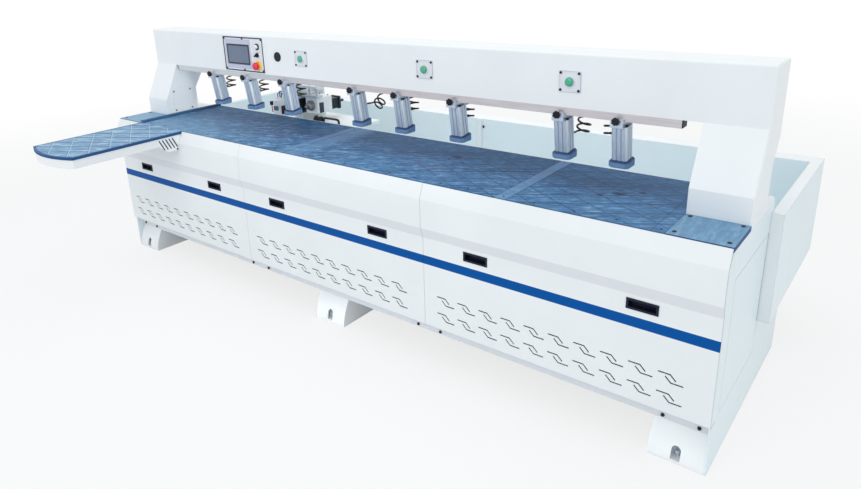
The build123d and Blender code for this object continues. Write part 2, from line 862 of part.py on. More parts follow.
def make_clamp_pad(x):
    plate_top = -barrel_length - slide_gap
    pad_top = plate_top - foot_plate_thickness
    half = pad_side / 2 / cos(clamp_tilt)
    with BuildPart() as pad:
        with BuildSketch(barrel_plane(x, plate_top)):
            Rectangle(foot_plate_side, foot_plate_side)
        extrude(amount=-foot_plate_thickness)
        with BuildSketch(barrel_plane(x, plate_top)):
            Circle(rod_radius)
        extrude(amount=rod_length)
        with BuildSketch(Plane.YZ.offset(x - pad_side / 2)):
            with BuildLine():
                front = leaning(-half, pad_top)
                rear = leaning(half, pad_top)
                sole_z = leaning(0, pad_top)[1] - pad_height
                Polyline(front, rear, (rear[0], sole_z), (front[0], sole_z), close=True)
            make_face()
        extrude(amount=pad_side)
        uprights = pad.edges().filter_by(Axis.Z)
        chamfer(uprights.filter_by(lambda edge: edge.center().Z < front[1] + pad_corner), pad_corner)
        chamfer(pad.faces().sort_by(Axis.Z)[0].edges(), pad_edge)
    return pad


for number, x in enumerate(clamp_xs, start=1):
    save(make_clamp_body(x), f"clamp_{number}_body")
    save(make_clamp_knob(x), f"clamp_{number}_knob")
    save(make_clamp_pad(x), f"clamp_{number}_pad")


# Coiled air hoses from the back of each barrel up to a port under the beam
port_y, port_z = leaning(barrel_side / 2 + port_length + slide_gap, -port_drop)
hose_start = Vector(0, port_y, port_z)


def biarc(p0, t0, p1, t1):
    # two tangent arcs from p0 to p1 that leave along t0 and arrive along t1
    chord = p1 - p0
    both = t0 + t1
    square = both.dot(both) - 4
    forward = chord.dot(both)
    reach = (forward - sqrt(forward**2 - square * chord.dot(chord))) / square
    joint = (p0 + p1 + (t0 - t1) * reach) / 2
    first = TangentArc(p0, joint, tangent=t0)
    TangentArc(joint, p1, tangent=first % 1)


def coil_point(angle, side, lean):
    # a point of the coil and its direction, from half a turn onwards
    axis = Vector(lean, 0, 1).normalized()
    across = axis.cross(Vector(0, 1, 0)).normalized()
    depth = Vector(0, 1, 0)
    rise = coil_pitch / (2 * pi)
    start = Vector(side, hose_start.Y + coil_behind, coil_low)
    ring = across * (-cos(angle)) + depth * (-sin(angle))
    turn = across * sin(angle) + depth * (-cos(angle))
    point = start + axis * (rise * (angle - pi)) + ring * coil_radius
    return point, (turn * coil_radius + axis * rise).normalized()


hose_out = Vector(0, cos(clamp_tilt), sin(clamp_tilt))
lead = 2 * hose_radius
samples = 400


def make_hose(side, lean, port_side):
    # one hose for a clamp at x = 0; a coil on the left side is the mirror of one on the right
    hose_end = Vector(abs(port_side), hose_port_y, beam_low - hose_port_length - slide_gap)
    stations = [(hose_start + hose_out * lead, hose_out)]
    stations += [coil_point((half_turn + 1) * pi, abs(side), lean) for half_turn in range(2 * coil_turns + 1)]
    stations.append((hose_end - Vector(0, 0, lead), Vector(0, 0, 1)))
    with BuildPart() as hose:
        with BuildLine() as hose_path:
            Line(hose_start, stations[0][0])
            for (p0, t0), (p1, t1) in zip(stations, stations[1:]):
                biarc(p0, t0, p1, t1)
            Line(stations[-1][0], hose_end)
        with BuildSketch(Plane(origin=hose_start, z_dir=hose_out)):
            RegularPolygon(hose_radius, hose_sides, rotation=hose_turn)
        sweep(path=hose_path.wire())
    wire = hose_path.wire()
    points = [wire.position_at(i / samples) for i in range(samples + 1)]
    next_turn = int(coil_radius * samples / wire.length)
    nearest = min((p - q).length for i, p in enumerate(points) for q in points[i + next_turn:])
    print(f"least gap of a hose to itself: {nearest - 2 * hose_radius:.2f} mm")
    solid = hose.part.solid()
    return solid.mirror(Plane.YZ) if side < 0 else solid


hose_kinds = {route: make_hose(*route) for route in dict.fromkeys(hose_routes)}
hoses = [hose_kinds[route].moved(Location((x, 0, 0))) for x, route in zip(clamp_xs, hose_routes)]
air_hoses = Compound(hoses)
air_hoses.label = "air_hoses"
export_step(air_hoses, "parts/air_hoses.step")

# Control panel: plate on the beam with a touch screen, two switches and a mushroom button
panel_mid_x = along(panel_left + panel_width / 2)
panel_mid_z = panel_low + panel_height / 2
screen_place = (along(screen_left + screen_width / 2), screen_low + screen_height / 2)
panel_face = beam_front - panel_thickness

with BuildPart() as control_panel:
    with BuildSketch(facing_front(beam_front)):
        with Locations((panel_mid_x, panel_mid_z)):
            RectangleRounded(panel_width, panel_height, panel_corner)
        with Locations(*[(switch_mid_x, z) for z in (power_z, selector_z, estop_z)]):
            Circle(button_stem + running_gap, mode=Mode.SUBTRACT)
    extrude(amount=panel_thickness)
    chamfer(control_panel.faces().sort_by(Axis.Y)[0].outer_wire().edges(), panel_edge)
save(control_panel, "control_panel")

with BuildPart() as touch_screen:
    with BuildSketch(facing_front(panel_face)):
        with Locations(screen_place):
            RectangleRounded(screen_width, screen_height, panel_corner / 2)
    extrude(amount=screen_thickness)
save(touch_screen, "touch_screen")

with BuildPart() as switch_collars:
    with BuildSketch(facing_front(panel_face)):
        with Locations((switch_mid_x, power_z), (switch_mid_x, selector_z)):
            Circle(collar_radius)
        with Locations((switch_mid_x, estop_z)):
            Circle(estop_collar_radius)
        with Locations(*[(switch_mid_x, z) for z in (power_z, selector_z, estop_z)]):
            Circle(button_radius + slide_gap, mode=Mode.SUBTRACT)
    extrude(amount=collar_height)
save(switch_collars, "switch_collars")


# Buttons that press in: a cap over a stem in the plate behind it
def make_button(x, z, face, cap_radius, cap_height):
    with BuildPart() as button:
        with BuildSketch(facing_front(face - cap_lift)):
            with Locations((x, z)):
                Circle(cap_radius)
        extrude(amount=cap_height)
        chamfer(button.faces().sort_by(Axis.Y)[0].edges(), cap_edge)
        with BuildSketch(facing_front(face + stem_depth)):
            with Locations((x, z)):
                Circle(button_stem)
        extrude(amount=stem_depth + cap_lift)
    return button


save(make_button(switch_mid_x, power_z, panel_face, button_radius, button_height), "power_button")

with BuildPart() as selector_knob:
    with BuildSketch(facing_front(panel_face - slide_gap)):
        with Locations((switch_mid_x, selector_z)):
            Circle(button_radius)
    extrude(amount=selector_height)
    with BuildSketch(facing_front(panel_face - slide_gap - selector_height)):
        with Locations((switch_mid_x, selector_z)):
            SlotOverall(1.8 * button_radius, selector_grip, rotation=60)
    extrude(amount=selector_grip_height)
    with BuildSketch(facing_front(panel_face + stem_depth)):
        with Locations((switch_mid_x, selector_z)):
            Circle(button_stem)
    extrude(amount=stem_depth + slide_gap)
save(selector_knob, "selector_knob")

with BuildPart() as estop_button:
    with BuildSketch(facing_front(panel_face + stem_depth)):
        with Locations((switch_mid_x, estop_z)):
            Circle(button_stem)
    extrude(amount=stem_depth + cap_lift)
    with BuildSketch(facing_front(panel_face - cap_lift)):
        with Locations((switch_mid_x, estop_z)):
            Circle(button_radius)
    extrude(amount=estop_neck)
    with BuildSketch(facing_front(panel_face - cap_lift - estop_neck)):
        with Locations((switch_mid_x, estop_z)):
            Circle(estop_radius)
    extrude(amount=estop_height)
    chamfer(estop_button.faces().sort_by(Axis.Y)[0].edges(), estop_height / 3)
save(estop_button, "estop_button")

# Start buttons: three square plates along the beam, each with a collar around its button
plate_face = beam_front - plate_thickness

with BuildPart() as button_plates:
    with BuildSketch(facing_front(beam_front)):
        with Locations(*[(x, plate_z) for x in plate_xs]):
            Rectangle(plate_width, plate_height)
            Circle(button_stem + running_gap, mode=Mode.SUBTRACT)
    extrude(amount=plate_thickness)
    with BuildSketch(facing_front(plate_face)):
        with Locations(*[(x, plate_z) for x in plate_xs]):
            Circle(start_collar)
            Circle(start_radius + slide_gap, mode=Mode.SUBTRACT)
    extrude(amount=start_collar_height)
save(button_plates, "button_plates")

for number, x in enumerate(plate_xs, start=1):
    save(make_button(x, plate_z, plate_face, start_radius, start_height), f"start_button_{number}")

with BuildPart() as beam_plug:
    with BuildSketch(facing_front(beam_front)):
        with Locations((along(plug_x), plate_z)):
            Circle(plug_radius)
    extrude(amount=plug_height)
    chamfer(beam_plug.faces().sort_by(Axis.Y)[0].edges(), plug_edge)
save(beam_plug, "beam_plug")

# Rear trough: double walls folded from sheet, open below, around a sheet floor
trough_half = half_length + trough_end
trough_back_y = behind(trough_reach)
trough_inner_y = behind(trough_reach - trough_back_wall)
trough_front_y = behind(trough_front)
trough_floor = trough_bottom + trough_sheet

with BuildPart() as rear_trough:
    block(-trough_half, trough_half, trough_front_y, trough_back_y, trough_bottom, trough_rim)
    inner_xs = (-half_length, half_length)
    block(*inner_xs, trough_front_y, trough_inner_y, trough_floor, trough_rim, mode=Mode.SUBTRACT)
    block(*inner_xs, trough_front_y, plate_back_y, trough_bottom, trough_rim, mode=Mode.SUBTRACT)
    rim_edges = rear_trough.edges().filter_by(Axis.Z).sort_by(Axis.Y)[-2:]
    fillet(rim_edges, gantry_edge)
    block(trough_sheet - trough_half, trough_half - trough_sheet, trough_inner_y + trough_sheet,
          trough_back_y - trough_sheet, trough_bottom, trough_rim - trough_sheet, mode=Mode.SUBTRACT)
    for side in (-1, 1):
        wall_xs = sorted((side * (half_length + trough_sheet), side * (trough_half - trough_sheet)))
        block(*wall_xs, trough_front_y + trough_sheet, trough_inner_y, trough_bottom,
              trough_rim - trough_sheet, mode=Mode.SUBTRACT)
    rib_left = along(rib_x - rib_width / 2)
    rib_ys = (trough_inner_y - rib_depth, trough_inner_y)
    block(rib_left, rib_left + rib_width, *rib_ys, trough_floor, trough_rim)
save(rear_trough, "rear_trough")

# Carriage rails on the back of the bed
with BuildPart() as x_rails:
    with BuildSketch(Plane.YZ.offset(-carriage_rail_length / 2)):
        with Locations(*[(plate_back_y + rail_stand / 2, z) for z in (lower_rail_z, upper_rail_z)]):
            Rectangle(rail_stand, rail_section)
            with GridLocations(0, rail_section, 1, 2):
                RegularPolygon(rail_section / 6, 4, mode=Mode.SUBTRACT)
    extrude(amount=carriage_rail_length)
save(x_rails, "x_rails")

# Drill saddle: apron with rail shoes, shelf, tower with the lift rails and bridge, guard rod
lift_right = along(spindle_x) - motor_side / 2 - feed_space
lift_left = lift_right - lift_plate_thickness
tower_right = lift_left - lift_space
tower_left = tower_right - tower_thickness
apron_front_y = plate_back_y + rail_stand + apron_space
apron_back_y = apron_front_y + apron_thickness
shelf_low = shelf_top - shelf_thickness
shoe_depth = rail_stand + apron_space - shoe_stand_off
onto_rail = (Align.MAX, Align.CENTER)
shoe_xs = [along(apron_left) + shoe_length / 2, along(apron_right) - shoe_length / 2]
bridge_right = along(rod_xs[-1]) + 3 * lift_rod_radius
bridge_ys = (behind(bridge_front), behind(bridge_back))
bridge_low = tower_top - bridge_thickness
guard_xs = (along(guard_left), along(guard_right))

with BuildPart() as drill_saddle:
    block(along(apron_left), along(apron_right), apron_front_y, apron_back_y, apron_low, shelf_top)
    block(along(shelf_left), along(shelf_right), apron_front_y, behind(shelf_back), shelf_low, shelf_top)
    with BuildSketch(Plane.YZ.offset(along(apron_left))):
        with BuildLine():
            Polyline((apron_back_y, apron_low), (apron_back_y, shelf_low), (behind(shelf_back), shelf_low),
                     close=True)
        make_face()
    extrude(amount=apron_thickness)
    for shoe_x in shoe_xs:
        for rail_z in (lower_rail_z, upper_rail_z):
            with BuildSketch(Plane.YZ.offset(shoe_x - shoe_length / 2)):
                with Locations((apron_front_y, rail_z)):
                    Rectangle(shoe_depth, shoe_width, align=onto_rail)
                with Locations((plate_back_y + rail_stand + slide_gap, rail_z)):
                    Rectangle(rail_stand, rail_section + 2 * slide_gap, align=onto_rail, mode=Mode.SUBTRACT)
            extrude(amount=shoe_length)
    block(tower_left, tower_right, behind(tower_front), behind(tower_back), shelf_top, tower_top)
    for rail_y in lift_rail_ys:
        rail_start_y = behind(rail_y) - lift_rail / 2
        rail_ys = (rail_start_y, rail_start_y + lift_rail)
        block(tower_right, tower_right + lift_rail, *rail_ys, shelf_top, bridge_low)
    block(tower_left, bridge_right, *bridge_ys, bridge_low, tower_top)
    with Locations(*[(along(x), behind(rod_y), tower_top) for x in rod_xs]):
        Hole(lift_rod_radius + running_gap, depth=bridge_thickness)
    with BuildLine() as guard_path:
        rod_line = behind(guard_y)
        FilletPolyline((guard_xs[0], rod_line, shelf_top), (guard_xs[0], rod_line, guard_top),
                       (guard_xs[1], rod_line, guard_top), (guard_xs[1], rod_line, shelf_top),
                       radius=guard_bend)
    with BuildSketch(Plane.XY.offset(shelf_top)):
        with Locations((guard_xs[0], rod_line)):
            RegularPolygon(guard_radius, hose_sides, rotation=hose_turn)
    sweep(path=guard_path.wire())
save(drill_saddle, "drill_saddle")

# Lift slide: plate with shoes on the lift rails, the feed rail and an arm with two guide rods
lift_plate_height = motor_side + 2 * lift_plate_margin
lift_low = spindle_z - lift_plate_height / 2
lift_high = lift_low + lift_plate_height + lift_arm_thickness
feed_rail_y = (lift_plate_front + lift_plate_back) / 2

with BuildPart() as lift_slide:
    block(lift_left, lift_right, behind(lift_plate_front), behind(lift_plate_back), lift_low, lift_high)
    for rail_y in lift_rail_ys:
        with BuildSketch(Plane.XY.offset(spindle_z - lift_shoe_length / 2)):
            with Locations((lift_left, behind(rail_y))):
                Rectangle(lift_space - shoe_stand_off, lift_shoe_width, align=onto_rail)
            with Locations((tower_right + lift_rail + slide_gap, behind(rail_y))):
                Rectangle(lift_rail, lift_rail + 2 * slide_gap, align=onto_rail, mode=Mode.SUBTRACT)
        extrude(amount=lift_shoe_length)
    block(lift_right, lift_right + feed_rail, behind(feed_rail_y - feed_rail_length / 2),
          behind(feed_rail_y + feed_rail_length / 2), spindle_z - feed_rail, spindle_z + feed_rail)
    block(lift_left, bridge_right, *bridge_ys, lift_high - lift_arm_thickness, lift_high)
    with BuildSketch(Plane.XY.offset(lift_high)):
        with Locations(*[(along(x), behind(rod_y)) for x in rod_xs]):
            Circle(lift_rod_radius)
    extrude(amount=lift_rod_length)
save(lift_slide, "lift_slide")

# Spindle motor: square housing with a feed shoe on its side, and a finned fan cover with a tail behind it
motor_x = along(spindle_x)
motor_left = motor_x - motor_side / 2
motor_back = motor_front + motor_length

with BuildPart() as spindle_motor:
    with BuildSketch(facing_front(motor_front)):
        with Locations((motor_x, spindle_z)):
            RectangleRounded(motor_side, motor_side, motor_corner)
    extrude(amount=-motor_length)
    with BuildSketch(facing_front(slide_block_front)):
        with Locations((motor_left, spindle_z)):
            Rectangle(feed_space - shoe_stand_off, 4 * feed_rail, align=onto_rail)
        with Locations((lift_right + feed_rail + slide_gap, spindle_z)):
            Rectangle(feed_rail, 2 * (feed_rail + slide_gap), align=onto_rail, mode=Mode.SUBTRACT)
    extrude(amount=-slide_block_length)
    fan_z = spindle_z - fan_drop
    with BuildSketch(facing_front(motor_back)):
        with Locations((motor_x, fan_z)):
            RectangleRounded(fan_side, fan_side, fan_corner)
            for side in (-1, 1):
                with Locations((side * fan_side / 2, 0)):
                    with GridLocations(0, fan_side / (fan_fins + 1), 1, fan_fins):
                        Rectangle(2 * fan_fin_depth, fan_fin_width, mode=Mode.SUBTRACT)
    extrude(amount=-fan_length)
    with BuildSketch(facing_front(motor_back + fan_length)):
        with Locations((motor_x, fan_z)):
            RectangleRounded(fan_flange_side, fan_flange_side, fan_corner)
    extrude(amount=-fan_flange_length)
    with BuildSketch(facing_front(motor_back + fan_length + fan_flange_length)):
        with Locations((motor_x, fan_z)):
            Circle(fan_tail_radius)
    extrude(amount=-fan_tail_length)
    with BuildSketch(facing_front(motor_front)):
        with Locations((motor_x, spindle_z)):
            Circle(shaft_radius + running_gap)
    extrude(amount=-shaft_length, mode=Mode.SUBTRACT)
save(spindle_motor, "spindle_motor")

# Chuck and bit, on a shaft in the motor
with BuildPart() as drill_chuck:
    with BuildSketch(facing_front(motor_front + shaft_length - shoe_stand_off)):
        with Locations((motor_x, spindle_z)):
            Circle(shaft_radius)
    extrude(amount=shaft_length)
    with BuildSketch(facing_front(motor_front - slide_gap)):
        with Locations((motor_x, spindle_z)):
            RegularPolygon(chuck_flange_radius, chuck_facets)
    extrude(amount=chuck_flange_length)
    with BuildSketch(facing_front(motor_front - chuck_flange_length)):
        with Locations((motor_x, spindle_z)):
            Circle(chuck_radius)
    extrude(amount=chuck_length, taper=8)
    with BuildSketch(facing_front(motor_front - chuck_flange_length - chuck_length)):
        with Locations((motor_x, spindle_z)):
            Circle(bit_radius)
    extrude(amount=bit_length)
    tip = drill_chuck.faces().sort_by(Axis.Y)[0].edges()
    chamfer(tip, length=bit_radius * 0.6, length2=bit_radius * 0.9)
save(drill_chuck, "drill_chuck")

# Valve block on the shelf and the drive motor under it
with BuildPart() as valve_block:
    valve_x = along(valve_left + valve_width / 2)
    valve_y = behind(valve_front + valve_depth / 2)
    with BuildSketch(Plane.XY.offset(shelf_top)):
        with Locations((valve_x, valve_y)):
            RectangleRounded(valve_width, valve_depth, panel_edge)
    extrude(amount=valve_height)
    with BuildSketch(Plane.XY.offset(shelf_top + valve_height)):
        with Locations((valve_x, valve_y)):
            with GridLocations(valve_width / 2, 0, 2, 1):
                Circle(valve_cap_radius)
    extrude(amount=valve_cap_height)
save(valve_block, "valve_block")

with BuildPart() as drive_motor:
    with BuildSketch(Plane.XY.offset(shelf_top - shelf_thickness)):
        with Locations((along(servo_x), behind(servo_y))):
            Rectangle(servo_side, servo_side)
    extrude(amount=-bridge_thickness)
    with BuildSketch(Plane.XY.offset(shelf_top - shelf_thickness - bridge_thickness)):
        with Locations((along(servo_x), behind(servo_y))):
            RectangleRounded(servo_side - servo_corner, servo_side - servo_corner, servo_corner)
    extrude(amount=-servo_length)
save(drive_motor, "drive_motor")
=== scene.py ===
import bpy
import numpy as np
from itertools import product
from mathutils import Matrix


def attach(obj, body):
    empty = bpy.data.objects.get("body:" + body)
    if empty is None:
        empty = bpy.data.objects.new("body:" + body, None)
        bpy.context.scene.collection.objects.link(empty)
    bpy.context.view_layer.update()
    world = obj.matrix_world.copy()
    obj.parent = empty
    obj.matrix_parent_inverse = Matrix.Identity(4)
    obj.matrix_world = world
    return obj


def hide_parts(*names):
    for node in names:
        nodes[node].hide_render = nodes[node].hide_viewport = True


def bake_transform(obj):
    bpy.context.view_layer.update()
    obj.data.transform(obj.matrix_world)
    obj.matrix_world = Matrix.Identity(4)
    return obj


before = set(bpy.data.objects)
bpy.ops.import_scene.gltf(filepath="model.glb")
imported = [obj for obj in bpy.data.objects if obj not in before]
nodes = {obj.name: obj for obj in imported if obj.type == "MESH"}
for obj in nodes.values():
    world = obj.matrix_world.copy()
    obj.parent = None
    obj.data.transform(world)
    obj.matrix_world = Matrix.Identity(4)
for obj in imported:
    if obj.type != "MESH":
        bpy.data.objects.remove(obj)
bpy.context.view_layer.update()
scene = bpy.context.scene
scene.view_settings.view_transform = "Standard"
print("frame loaded:", len(nodes), "nodes")


class Values(dict):  # a dictionary whose values are read by name
    __getattr__ = dict.__getitem__


# Sizes of pieces are in millimetres from the bed's left end, its lower front skin and the floor
bed = Values(left=-1750, front=-367.5)
kit = Values(arc=5, least=1e-4, path=8, screw=24)  # points on a corner, least corner, path steps, screw sides


def place(points):  # to the shared frame, in metres
    return (np.asarray(points, float) + (bed.left, bed.front, 0)) / 1000


def unit(vectors):  # made 1 long
    return vectors / np.linalg.norm(vectors, axis=-1, keepdims=True)


def around(sides):  # angles of a full turn
    return np.linspace(0, 2 * np.pi, sides, endpoint=False)


def grid(x, y, z):  # points from arrays that broadcast together
    return np.stack(np.broadcast_arrays(x, y, z), axis=-1)


def raised(loop, height):  # flat loop lifted to a height
    return np.column_stack([loop, np.full(len(loop), height)])


# A shape is (vertices, quads, caps), where caps are flat polygons that close the ends
def loft(rings, caps=True, closed=True):  # skin over a stack of rings, m by n by 3
    rings = np.asarray(rings, float)
    m, n = rings.shape[:2]
    index = np.arange(m * n).reshape(m, n)
    side = np.concatenate([index, index[:, :1]], axis=1) if closed else index
    quads = np.stack([side[:-1, :-1], side[:-1, 1:], side[1:, 1:], side[1:, :-1]], axis=-1).reshape(-1, 4)
    ends = [index[0][::-1].tolist(), index[-1].tolist()] if caps else []
    return rings.reshape(-1, 3), quads, ends


def sheet(points):  # open surface over an m by n grid of points
    return loft(points, caps=False, closed=False)


def join(*shapes):  # several shapes as one, each one's indices counted on from the last
    verts, quads, caps, count = [], [], [], 0
    for points, faces, ends in shapes:
        verts.append(points)
        quads.append(faces + count)
        caps += [[i + count for i in end] for end in ends]
        count += len(points)
    return np.concatenate(verts), np.concatenate(quads), caps


def spread(shape, spots):  # copies of a shape, one at each spot
    verts, quads, caps = shape
    spots = np.asarray(spots, float).reshape(-1, 1, 3)
    first = np.arange(len(spots)) * len(verts)
    allQuads = (quads[None] + first[:, None, None]).reshape(-1, 4)
    allCaps = [[i + number for i in cap] for number in first.tolist() for cap in caps]
    return (verts[None] + spots).reshape(-1, 3), allQuads, allCaps


facings = {  # right, up and outward axes of a face
    "front": ((1, 0, 0), (0, 0, 1), (0, -1, 0)),
    "top": ((1, 0, 0), (0, 1, 0), (0, 0, 1)),
    "right": ((0, 1, 0), (0, 0, 1), (1, 0, 0)),
    "left": ((0, -1, 0), (0, 0, 1), (-1, 0, 0)),
}


def turned(shape, facing, spin=0):  # stood on a face, spun about its outward axis
    right, up, out = np.asarray(facings[facing], float)
    cos, sin = np.cos(spin), np.sin(spin)
    axes = np.stack([right * cos + up * sin, up * cos - right * sin, out])
    return (shape[0] @ axes,) + shape[1:]


def moved(shape, offset):  # every point shifted alike
    return (shape[0] + np.asarray(offset, float),) + shape[1:]


def setOn(shape, facing, *spots):  # copies that stand on a face at each spot
    return spread(turned(shape, facing), spots)


def roundLoop(width, height, corner):  # rounded rectangle, quarter arcs about four corner centres
    corner = max(min(corner, width / 2 - kit.least, height / 2 - kit.least), kit.least)
    arc = np.linspace(0, np.pi / 2, kit.arc)
    angle = (arc[None] + np.arange(4)[:, None] * np.pi / 2).ravel()
    x = np.repeat(np.array([1, -1, -1, 1]) * (width / 2 - corner), kit.arc)
    y = np.repeat(np.array([1, 1, -1, -1]) * (height / 2 - corner), kit.arc)
    return np.stack([x + corner * np.cos(angle), y + corner * np.sin(angle)], axis=1)


def slab(width, height, corner, profile, caps=True):  # loops drawn in by each inset and raised to each height
    loops = [(roundLoop(width - 2 * inset, height - 2 * inset, corner - inset), rise) for inset, rise in profile]
    return loft([raised(loop, rise) for loop, rise in loops], caps)


def frameRing(outer, inner, height, shift=(0, 0), edge=0.6):  # flat frame between two rounded rectangles
    width, tall, corner = outer
    rim = roundLoop(*outer)
    eased = roundLoop(width - 2 * edge, tall - 2 * edge, corner - edge)
    hole = roundLoop(*inner) + np.asarray(shift, float)
    levels = [(rim, 0), (rim, height - edge), (eased, height), (hole, height), (hole, 0)]
    return loft([raised(loop, rise) for loop, rise in levels], caps=False)


def lathe(profile, sides, lobes=0, depth=0, caps=True):  # radius r(h) * (1 + depth * cos(lobes * t))
    radius, height = np.asarray(profile, float).T[:, :, None]
    angle = around(sides)
    radius = radius * (1 + depth * np.cos(lobes * angle))
    return loft(grid(radius * np.cos(angle), radius * np.sin(angle), height), caps)


def screw(radius, height):  # low head, rings from the seat over the rim and down a hexagon socket
    angle = around(kit.screw)
    circle = np.stack([np.cos(angle), np.sin(angle)], axis=1)
    hexagon = circle / np.cos(angle % (np.pi / 3) - np.pi / 6)[:, None]
    levels = [(circle, 1, 0), (circle, 1, 0.6), (circle, 0.86, 1),
              (hexagon, 0.46, 1), (hexagon, 0.44, 0.2), (circle, 0.02, 0.2)]
    return loft([raised(loop * share * radius, rise * height) for loop, share, rise in levels])


guides = np.stack(np.meshgrid(*[(-1, 0, 1)] * 3, indexing="ij"), axis=-1).reshape(-1, 3)
guides = unit(guides[guides.any(axis=1)])  # fixed directions to turn a tube's circle by


def tube(points, radius, sides):  # circle carried along points, its frame set by the safest fixed direction
    points = np.asarray(points, float)
    tangent = unit(np.gradient(points, axis=0))
    safety = np.linalg.norm(np.cross(tangent[None], guides[:, None]), axis=2).min(axis=1)
    across = unit(np.cross(tangent, guides[safety.argmax()]))
    up = np.cross(tangent, across)
    angle = around(sides)[None, :, None]
    return loft(points[:, None] + radius * (across[:, None] * np.cos(angle) + up[:, None] * np.sin(angle)))


def smoothPath(points):  # a cubic in each span, through its ends, with slopes from the points either side
    points = np.asarray(points, float)
    points = np.concatenate([2 * points[:1] - points[1:2], points, 2 * points[-1:] - points[-2:-1]])
    t = np.linspace(0, 1, kit.path, endpoint=False)[None, :, None]
    a, b, c, d = points[:-3, None], points[1:-2, None], points[2:-1, None], points[3:, None]
    curve = 0.5 * (2 * b + (c - a) * t + (2 * a - 5 * b + 4 * c - d) * t**2 + (3 * b - a - 3 * c + d) * t**3)
    return np.concatenate([curve.reshape(-1, 3), points[-2:-1]])


looks = {}  # materials by name


def build(name, shape, body, look, standsFor=(), crease=40, placed=False):  # a piece from a shape
    verts, quads, caps = shape
    points = verts if placed else place(verts)
    mesh = bpy.data.meshes.new(name)
    mesh.from_pydata(points.tolist(), [], quads.tolist() + caps)
    mesh.validate()
    mesh.materials.append(looks[look])
    mesh.shade_smooth()
    mesh.set_sharp_from_angle(angle=np.radians(crease))
    piece = bpy.data.objects.new(name, mesh)
    scene.collection.objects.link(piece)
    if body:
        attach(piece, body)
    if standsFor:
        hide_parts(*standsFor)
    return piece


def screwOn(name, size, facing, spots, body="bed"):  # a piece of socket screws
    build(name, setOn(screw(*size), facing, *spots), body, "screwBlack")


def stand(data, spot, side, back):  # a camera or lamp from its place and two of its axes
    item = bpy.data.objects.new(data.name, data)
    scene.collection.objects.link(item)
    pose = np.eye(4)
    pose[:3, :3] = np.stack([side, np.cross(back, side), back]).T
    pose[:3, 3] = spot
    item.matrix_world = Matrix(pose.tolist())
    return item


# Camera at the photograph's angle
view = Values(
    spot=(2.1642, -2.392, 1.6901), right=(0.77923, 0.62563, -0.03722), back=(0.60356, -0.73309, 0.31354), sensor=36,
    lens=28.18, shift=(0.0302, -0.072), reach=200)
cameraData = bpy.data.cameras.new("photoCamera")
cameraData.sensor_fit = "HORIZONTAL"
cameraData.sensor_width = view.sensor
cameraData.lens = view.lens
cameraData.shift_x, cameraData.shift_y = view.shift
cameraData.clip_end = view.reach
right, back = unit(np.array(view.right)), np.array(view.back)
scene.camera = stand(cameraData, view.spot, right, unit(back - right * (right @ back)))
print("camera set")


# Material kit
work = {}  # the node tree that is being made


def link(source, target):  # a wire between two sockets
    work["tree"].links.new(source, target)


def add(kind, inputs=None, **settings):  # a shader node with its settings and inputs
    made = work["tree"].nodes.new("ShaderNode" + kind)
    for key, value in settings.items():
        setattr(made, key, value)
    for key, value in (inputs or {}).items():
        if isinstance(value, bpy.types.NodeSocket):
            link(value, made.inputs[key])
        else:
            made.inputs[key].default_value = value
    return made


def calc(operation, a, b=0, c=0):  # value of one Math node
    return add("Math", {0: a, 1: b, 2: c}, operation=operation).outputs[0]


def times(a, b):  # a b
    return calc("MULTIPLY", a, b)


def minus(a, b):  # a - b
    return calc("SUBTRACT", a, b)


def most(first, *others):  # the largest value
    for other in others:
        first = calc("MAXIMUM", first, other)
    return first


def squares(a, b):  # a a + b b
    return calc("ADD", times(a, a), times(b, b))


def parts(vector):  # x, y and z of a vector
    return add("SeparateXYZ", {0: vector}).outputs


def normal():  # x, y and z of the face's direction
    return parts(add("TexCoord").outputs["Normal"])


def mix(factor, a, b, mode="MIX"):  # colours, or names of tones
    a, b = [finish[tone] if isinstance(tone, str) else tone for tone in (a, b)]
    return add("Mix", {0: factor, 6: a, 7: b}, data_type="RGBA", blend_type=mode).outputs[2]


def steps(value, low, high, toLow=0, toHigh=1):  # smooth ramp between two values
    return add("MapRange", {0: value, 1: low, 2: high, 3: toLow, 4: toHigh},
               interpolation_type="SMOOTHSTEP").outputs[0]


def band(value, low, high, edge=0.0006):  # 1 between low and high
    return times(steps(value, low - edge, low + edge), steps(value, high + edge, high - edge))


def rgb(r, g, b):  # 0 to 255 as seen, to a linear colour
    seen = np.array([r, g, b]) / 255
    return (*np.where(seen < 0.04045, seen / 12.92, ((seen + 0.055) / 1.055) ** 2.4).tolist(), 1)


def tint(colour, share):  # each channel times a share, 1 at most
    return (*[min(1, channel * share) for channel in colour[:3]], 1)


# A new material with plain values; gives its shader and the Object coordinates
def startMaterial(name, roughness, metallic=0, specular=0.5, coat=0, coatRoughness=0.03):
    material = bpy.data.materials.new(name)
    material.use_nodes = True
    work["tree"] = material.node_tree
    shader = work["tree"].nodes["Principled BSDF"]
    plain = {"Roughness": roughness, "Metallic": metallic, "Specular IOR Level": specular,
             "Coat Weight": coat, "Coat Roughness": coatRoughness}
    for key, value in plain.items():
        shader.inputs[key].default_value = value
    looks[name] = material
    return shader, add("TexCoord").outputs["Object"]


def grain(coords, scale, stretch=(1, 1, 1), detail=3, rough=0.55, distortion=0):  # noise, stretched
    mapped = add("Mapping", {"Vector": coords, "Scale": stretch}).outputs[0]
    inputs = {"Vector": mapped, "Scale": scale, "Detail": detail, "Roughness": rough, "Distortion": distortion}
    return add("TexNoise", inputs).outputs[0]


def hollows(reach):  # 0 in corners closer than the reach, 1 in the open
    return add("AmbientOcclusion", {"Distance": reach}, samples=4).outputs["AO"]


